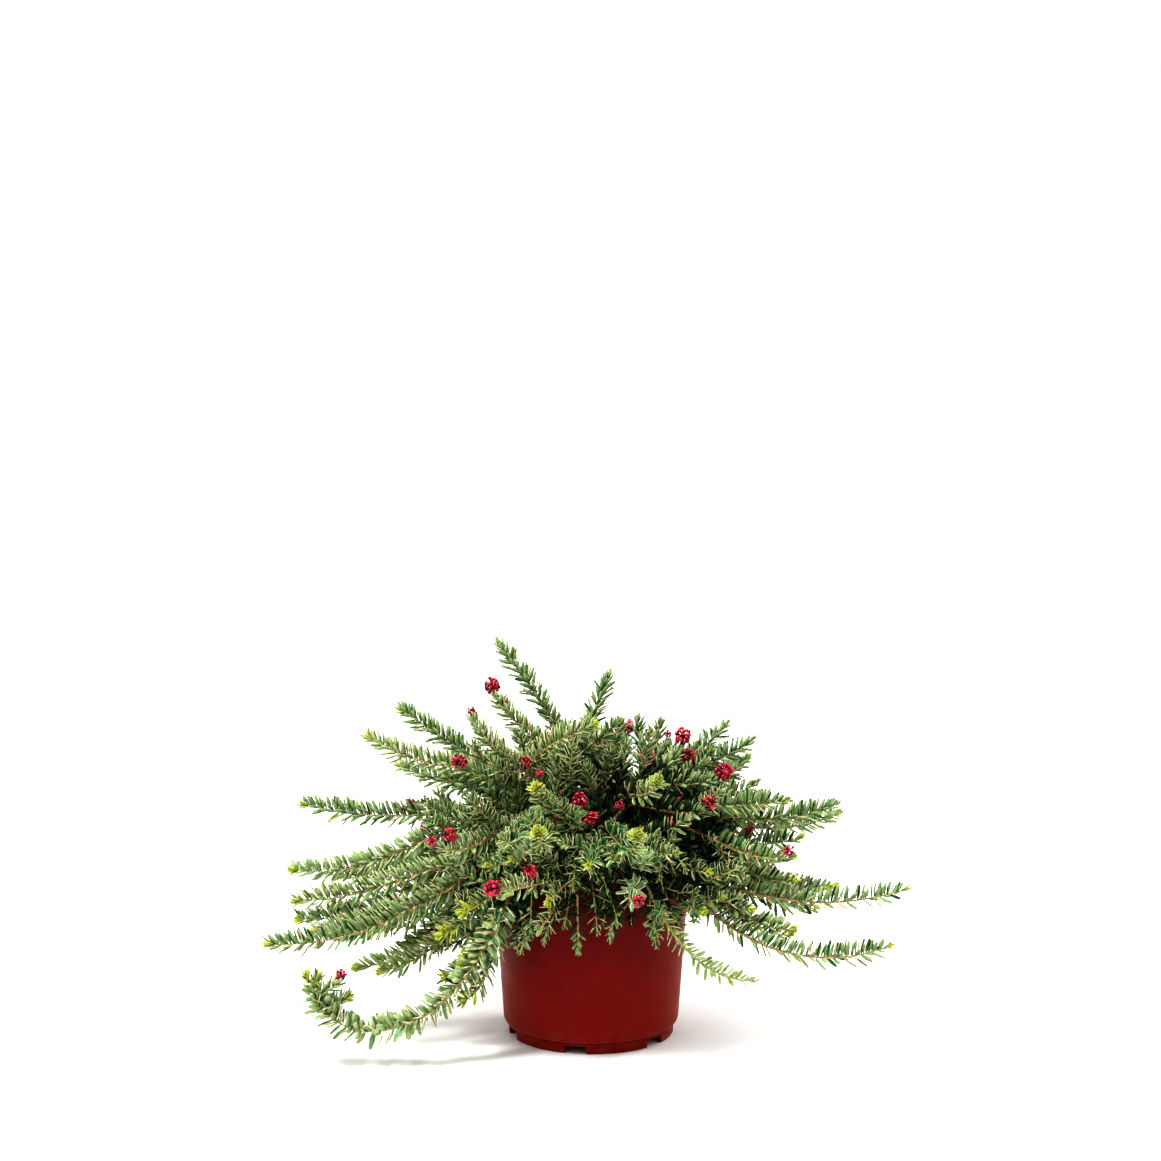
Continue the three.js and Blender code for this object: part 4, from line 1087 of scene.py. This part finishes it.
# %% Where the leaves are
def leaves_along(made, seed):
    """Arrays of root, direction, upper side, length, width, bend and tone of every leaf of the shoots."""
    draw = np.random.default_rng(seed)
    length, width, spacing, upright, level_lean = LEAF_SIZES[made.leaf].T
    spacing = spacing * np.where(made.order == 2, 1.2, 1.0)
    shoot, number = dealt(np.maximum(((made.length + 1.0 - made.bare) / spacing).astype(int), 3))
    n = len(shoot)
    share = (made.bare[shoot] + (number + draw.uniform(-0.3, 0.3, n)) * spacing[shoot]) / made.length[shoot]
    share = np.clip(share, 0.01, 1)
    root, along = made.at(shoot, share)
    twig, leaf, end = made.order[shoot] == 2, made.leaf[shoot], made.end[shoot]
    broad = np.isin(leaf, [LEAF["broad"], LEAF["short"]])
    vigour = vigour_of(made)[shoot]

    # the turn round the stem, from -180 to 180 with the upper side at 0, and the comb that draws it upwards
    flat = 1 - along[:, 2] ** 2
    phase = draw.uniform(0, 360, len(made))[shoot]
    turn = (GOLDEN * number + phase + draw.uniform(-10, 10, n) + 180) % 360 - 180
    combed = 180 * np.sign(turn) * (np.abs(turn) / 180) ** (1 + np.where(broad, 0.4, 0.9) * flat)
    topmost = 0.5 + 0.5 * np.cos(np.radians(combed))

    # small and young rise from 0 to 1 over the last part of a shoot that grows
    to_tip = np.where((end == END["open"]) & ~twig, 99.0, (1 - share) * made.length[shoot])
    small = np.clip(1 - to_tip / np.where(twig, 12.0, 24.0), 0, 1)
    young = np.clip(1 - to_tip / np.where(twig, 6.0, 13.0 * vigour), 0, 1)

    # the lean from the stem, the direction and the side that faces up
    lean = upright[shoot] + flat * ((level_lean - upright)[shoot] * topmost + 4 * (1 - topmost))
    lean = np.radians((lean + draw.uniform(-6, 6, n)) * (1 - (0.25 * small + 0.35 * young) / vigour))[:, None]
    scatter = draw.normal(0, 0.045, root.shape)
    direction = along * np.cos(lean) + around(along, combed) * np.sin(lean)
    direction = unit(direction + 0.16 * UP * flat[:, None] + scatter)
    face = unit(along - direction * dot(along, direction))
    roll = draw.normal(0, 14 + 14 * flat + np.where(broad, 30, 24 * flat * (1 - topmost)))
    roll = np.radians(roll + 32 * flat * topmost * np.sign(combed))[:, None]
    face = face * np.cos(roll) + np.cross(direction, face) * np.sin(roll)

    # the size, as a share of the full leaf: less near the tip, near the foot and on twigs
    growth = 1 - (0.24 * small + 0.18 * young) / np.where(broad, 0.7, vigour)
    growth = growth * (0.72 + 0.28 * np.clip(share / 0.15, 0, 1)) * draw.uniform(0.84, 1.1, n)
    growth = growth * np.where(twig, 0.9, 1.0)
    long, wide = length[shoot] * growth, width[shoot] * growth**0.5 * (1 - 0.25 * young)

    # the tone: the shoot's own with a few strays, painted light on the paler leaves under a level wand, young
    # near the tip, and painted shade in the dark shade tone deep in the crown and round the rim
    stray = draw.uniform(0, 1, n)
    tone = np.where(stray < np.where(broad, 0.05, 0.12), draw.integers(0, 3, n), made.tone[shoot])
    # painted light: leaves hanging under a level wand are dealt spring or pale, as if lit through
    underneath = (flat * (1 - topmost) > 0.6) & (stray < 0.7) & ~broad
    tone = np.where(underneath, np.where(stray < 0.5, TONE["spring"], TONE["pale"]), tone)
    growing = (young > draw.uniform(0.3, 0.8, n)) & (leaf < LEAF["short"])
    tone = np.where(growing, np.where(twig, TONE["spring"], END_TONES[end]), tone)
    # painted shade: leaves deep in the crown and round the rim take the dark shade tone
    tone = np.where(painted_shade_share(root) * draw.uniform(0.6, 1.4, n) > 0.5, TONE["shade"], tone)
    keep = outside_pot(root + 6 * direction, 0.3) & outside_pot(root + 11 * direction, 0.2)
    keep &= draw.uniform(0, 1, n) > 0.03
    leaves = (root, direction, face, long, wide, draw.uniform(-0.06, 0.16, n), tone)
    return [part[keep] for part in leaves]


# %% Tufts at the growing ends
ROSETTE = {"each": 64, "spread": 84, "stretch": 1.35}


def tufts(made, seed, each=13, spread=36, stretch=1.0):
    """The growing end of each shoot: a crown of small narrow leaves folded round the bud, in the tone of its
    end. A rosette is a fuller tuft that opens wider, and its outermost leaves are paler."""
    draw = np.random.default_rng(seed)
    shoot = np.repeat(np.flatnonzero((made.end != END["open"]) & (made.leaf != LEAF["short"])), each)
    n = len(shoot)
    order = np.arange(n) % each / each
    root, along = made.at(shoot, 1 - 3.0 * stretch * order / made.length[shoot])
    outward = around(along, GOLDEN * each * order + draw.uniform(-15, 15, n))
    lean = np.radians(6 + spread * order + draw.uniform(-4, 4, n))[:, None]
    direction = unit(along * np.cos(lean) + outward * np.sin(lean))
    face = unit(along - direction * dot(along, direction) + 1e-4 * upper_side(along)[0])
    twig = made.order[shoot] == 2
    size = np.where(twig, 0.72, vigour_of(made)[shoot] ** 0.8) * stretch
    long = size * (3.6 + 3.0 * order) * draw.uniform(0.85, 1.15, n)
    tone = np.where(twig & (shoot % 4 > 0), TONE["spring"], END_TONES[made.end[shoot]])
    # painted shade: tufts deep in the crown take the dark shade tone
    tone = np.where(painted_shade_share(root) > 0.5, TONE["shade"], tone)
    tone = np.where((each == ROSETTE["each"]) & (order > 0.75), TONE["spring"], tone)
    return [root, direction, face, long, 0.27 * long, draw.uniform(0, 0.2, n), tone]


# %% The blade
SECTION = np.array([[0.5, -0.11], [0.41, 0.06], [0, 0.0], [-0.41, 0.06], [-0.5, -0.11]])
STATIONS, OUTLINE = np.array([0.12, 0.5, 0.91]), np.array([0.55, 1.0, 0.7])
STRIPS = ["edge", "upper", "upper", "edge", "under"]


def blades(root, direction, face, long, wide, bend):
    """Ring at station s: root + s long direction + bend long s^2 face. The outline scales the section."""
    level = np.cross(face, direction)
    s = STATIONS[None, :, None]
    long, bend = long[:, None, None], bend[:, None, None]
    spine = root[:, None] + direction[:, None] * long * s + face[:, None] * bend * long * s**2
    normal = unit(face[:, None] - 2 * bend * s * direction[:, None])
    width = (wide[:, None] * OUTLINE)[..., None, None]
    section = level[:, None, None] * SECTION[:, :1] + normal[:, :, None] * SECTION[:, 1:]
    ring = spine[:, :, None] + width * section
    tip = root + direction * long[:, 0] + face * bend[:, 0] * long[:, 0]
    return np.concatenate([root[:, None], ring.reshape(len(root), -1, 3), tip[:, None]], 1)


# %% [markdown]
# The colours are dealt out by the shoot, so that a spray is of one tone, with a few strays. Each is a plain
# colour with a slight mottling: deep and bluish, olive, or paler on the low trailing wands. Painted shade deals
# the deeper tones to the hanging shoots and inner twigs and the darkest, shade, to leaves deep in the crown and
# round the rim; painted light deals the paler tones to the left and low wands and to leaves under a level wand.
# The edges and undersides come in four families: dull, pale, yellow-green and shaded, the last for the painted
# shade.

# %% Leaf colours
# the shade tone is painted shade, for leaves deep in the crown and round the rim
UPPER = {
    "deep": (16, 66, 32), "green": (42, 98, 50), "olive": (88, 118, 58), "pale": (112, 148, 104),
    "spring": (122, 150, 84), "young": (160, 170, 40), "rust": (126, 44, 32), "dry": (196, 120, 60),
    "shade": (12, 42, 18),
}
# family 3, the shaded edges and undersides, goes with the painted shade tone
FAMILY = np.array([0, 0, 1, 1, 1, 2, 2, 2, 3])
EDGES = [(194, 180, 136), (220, 206, 166), (196, 194, 96), (58, 62, 34)]
UNDERS = [(118, 142, 94), (144, 162, 112), (160, 174, 74), (24, 54, 26)]


def leaf_finish(name, colour, change, roughness):
    dark, light = (np.array(colour) * (1 + side * change) for side in (-1, 1))
    return two_tone(name, dark, light, (240, 3), (0.3, 0.7), Roughness=roughness, Specular_IOR_Level=0.2)


leaf_finishes = [leaf_finish("leaf_" + tone, UPPER[tone], change=0.16, roughness=0.48) for tone in TONE]
for kind, colours, change, roughness in (("edge", EDGES, 0.1, 0.7), ("under", UNDERS, 0.12, 0.75)):
    for i, colour in enumerate(colours):
        leaf_finishes.append(leaf_finish(f"leaf_{kind}_{i}", colour, change, roughness))
LEAF_SEED, TUFT_SEED, ROSETTE_SEED = 40, 60, 80


def leaf_surface(leaves):
    """Blades with the material of each strip: the leaf's tone above, and pale edges and underside."""
    *shape, tone = leaves
    family = len(TONE) + FAMILY[tone]
    numbers = {"upper": tone, "edge": family, "under": len(EDGES) + family}
    paint = np.stack([numbers[strip] for strip in STRIPS], -1)
    return copies(blades(*shape), len(STATIONS), len(STRIPS), paint[:, None])


for number, group in enumerate(GROUPS):
    here = shoots.only(shoots.group == number)
    parts = [leaves_along(here, LEAF_SEED + number), tufts(here, TUFT_SEED + number)]
    rosettes = here.only(here.end == END["rosette"])
    if len(rosettes):
        parts.append(tufts(rosettes, ROSETTE_SEED + number, **ROSETTE))
    surface = stacked([leaf_surface(part) for part in parts])
    make_piece(f"leaves_{group}", surface, leaf_finishes, group_nodes[number])

# %% [markdown]
# ## Flower buds
# The clusters are still in bud. Each bud is a thin red stalk that swells into a tube and curls back on itself
# to a round head, and ten to thirty-six of them make a tight knot that looks like a raspberry. A bud is the
# closed tube along a straight piece and an arc, and its turn about the knot follows the golden angle over a
# sphere.

# %% Bud clusters
CLUSTER_STALK, HOOK_RADIUS, HOOK_TURN, STRAIGHT_SHARE = 8.0, 0.55, np.radians(185), 0.42
BUD_STEPS = np.array([0, 0.25, 0.42, 0.58, 0.74, 0.88, 0.97])
BUD_RADII = np.array([0.26, 0.3, 0.76, 1.1, 1.2, 1.14, 0.84])
BUD_SIDES, STALK_RINGS = 5, (6, 6)


def cluster_places(rows):
    """Root, direction, middle and radius of each cluster, by the source's rule of share, turn and lean."""
    which, share, turn, radius = np.array(rows, float).T
    root, along = wands.at(which.astype(int), np.minimum(share, 0.98))
    lean = np.radians(np.where(share == 1, 8, 62))[:, None]
    direction = unit(along * np.cos(lean) + around(along, turn) * np.sin(lean) + 0.25 * UP)
    return root, direction, root + direction * (CLUSTER_STALK + 2 * (share < 1))[:, None], 0.92 * radius


def bud_tubes(middle, axis, radius, seed):
    """Bud k of a cluster points to place k of a spiral over a sphere. Its path runs out to the sphere and
    then round an arc, at (sin a) outward + (1 - cos a) backward, so that its head comes back to the
    cluster."""
    draw = np.random.default_rng(seed)
    count = np.clip(1.2 * radius**2 + 6, 10, 36).astype(int)
    of, number = dealt(count)
    polar_cos = 1 - 1.75 * (number + 0.5) / count[of]
    polar_sin = np.sqrt(1 - polar_cos**2)
    outward = axis[of] * polar_cos[:, None] + around(axis[of], GOLDEN * number) * polar_sin[:, None]
    outward = unit(outward + draw.normal(0, 0.12, outward.shape))
    back = unit(-axis[of] + outward * dot(axis[of], outward) + draw.normal(0, 0.35, outward.shape))
    back = unit(back - outward * dot(back, outward))
    size = draw.uniform(0.8, 1.12, len(of)) * np.clip(radius[of] / 5, 0.75, 1.1)
    reach = radius[of] * (0.86 + 0.3 * polar_cos**2) - HOOK_RADIUS * size + draw.uniform(-0.6, 0.4, len(of))
    straight = np.clip(BUD_STEPS / STRAIGHT_SHARE, 0, 1)[:, None]
    arc = np.clip((BUD_STEPS - STRAIGHT_SHARE) / (BUD_STEPS[-1] - STRAIGHT_SHARE), 0, 1)[:, None] * HOOK_TURN
    hook, reach = (HOOK_RADIUS * size)[:, None, None], reach[:, None, None]
    outward, back = outward[:, None], back[:, None]
    path = middle[of][:, None] + outward * (reach * (0.1 + 0.9 * straight) + hook * np.sin(arc))
    path = path + back * hook * (1 - np.cos(arc))
    along = outward * np.cos(arc) + back * np.sin(arc)
    spread = np.repeat((BUD_RADII * size[:, None])[..., None, None], BUD_SIDES, 2)
    points = ringed(path, along, np.cross(outward, back) + 0 * along, spread, (-0.5, 0.8))
    tone = draw.choice(3, len(of), p=[0.55, 0.25, 0.2])[:, None, None]
    return copies(points, len(BUD_STEPS), BUD_SIDES, tone)


BUD_COLOURS = {
    "bud_crimson": ((134, 0, 32), (168, 8, 46)),
    "bud_rose": ((172, 16, 54), (198, 44, 76)),
    "bud_maroon": ((60, 0, 16), (96, 2, 26)),
}
WAXY = {"Roughness": 0.28, "Specular_IOR_Level": 0.45, "Coat_Weight": 0.2, "Coat_Roughness": 0.12}
bud_finishes = [two_tone(name, *pair, (420, 2), **WAXY) for name, pair in BUD_COLOURS.items()]
foot, axis, middle, radius = cluster_places(bud_rows)
stalks = Shoots(sweep(foot, axis, middle + axis * radius[:, None] * 0.4, axis))
stalk_points = tubes(stalks, *STALK_RINGS, lambda share, angle: 0.75 - 0.3 * share + 0 * angle)
maroon = list(BUD_COLOURS).index("bud_maroon")
bud_surface = stacked([bud_tubes(middle, axis, radius, 5), copies(stalk_points, *STALK_RINGS, maroon)])
bud_nodes = foliage_nodes([wand_rows[row[0]] for row in bud_rows])
make_piece("flower_buds", bud_surface, bud_finishes, bud_nodes)
print("clusters:", len(bud_rows))

# %% [markdown]
# ## Floor
# The floor is a wide plain sheet under the pot, swept up at its edges. It isn't part of the object.

# %% Floor
FLOOR_HALF, FLOOR_RISE = 60.0, 10.0
floor_mesh = bpy.data.meshes.new("floor")
corner = FLOOR_HALF * np.array([[-1, -1, 0], [1, -1, 0], [1, 1, 0], [-1, 1, 0]])
swept = corner * (1 + FLOOR_RISE / FLOOR_HALF) + FLOOR_RISE * UP
sides = [(i, 4 + i, 4 + (i + 1) % 4, (i + 1) % 4) for i in range(4)]
floor_mesh.from_pydata(np.vstack([corner, swept]).tolist(), [], [(0, 1, 2, 3), *sides])
floor = placed("floor", floor_mesh)
floor_mesh.materials.append(Finish("white_floor", Roughness=0.9, Base_Color=(0.95, 0.95, 0.95, 1)).material)
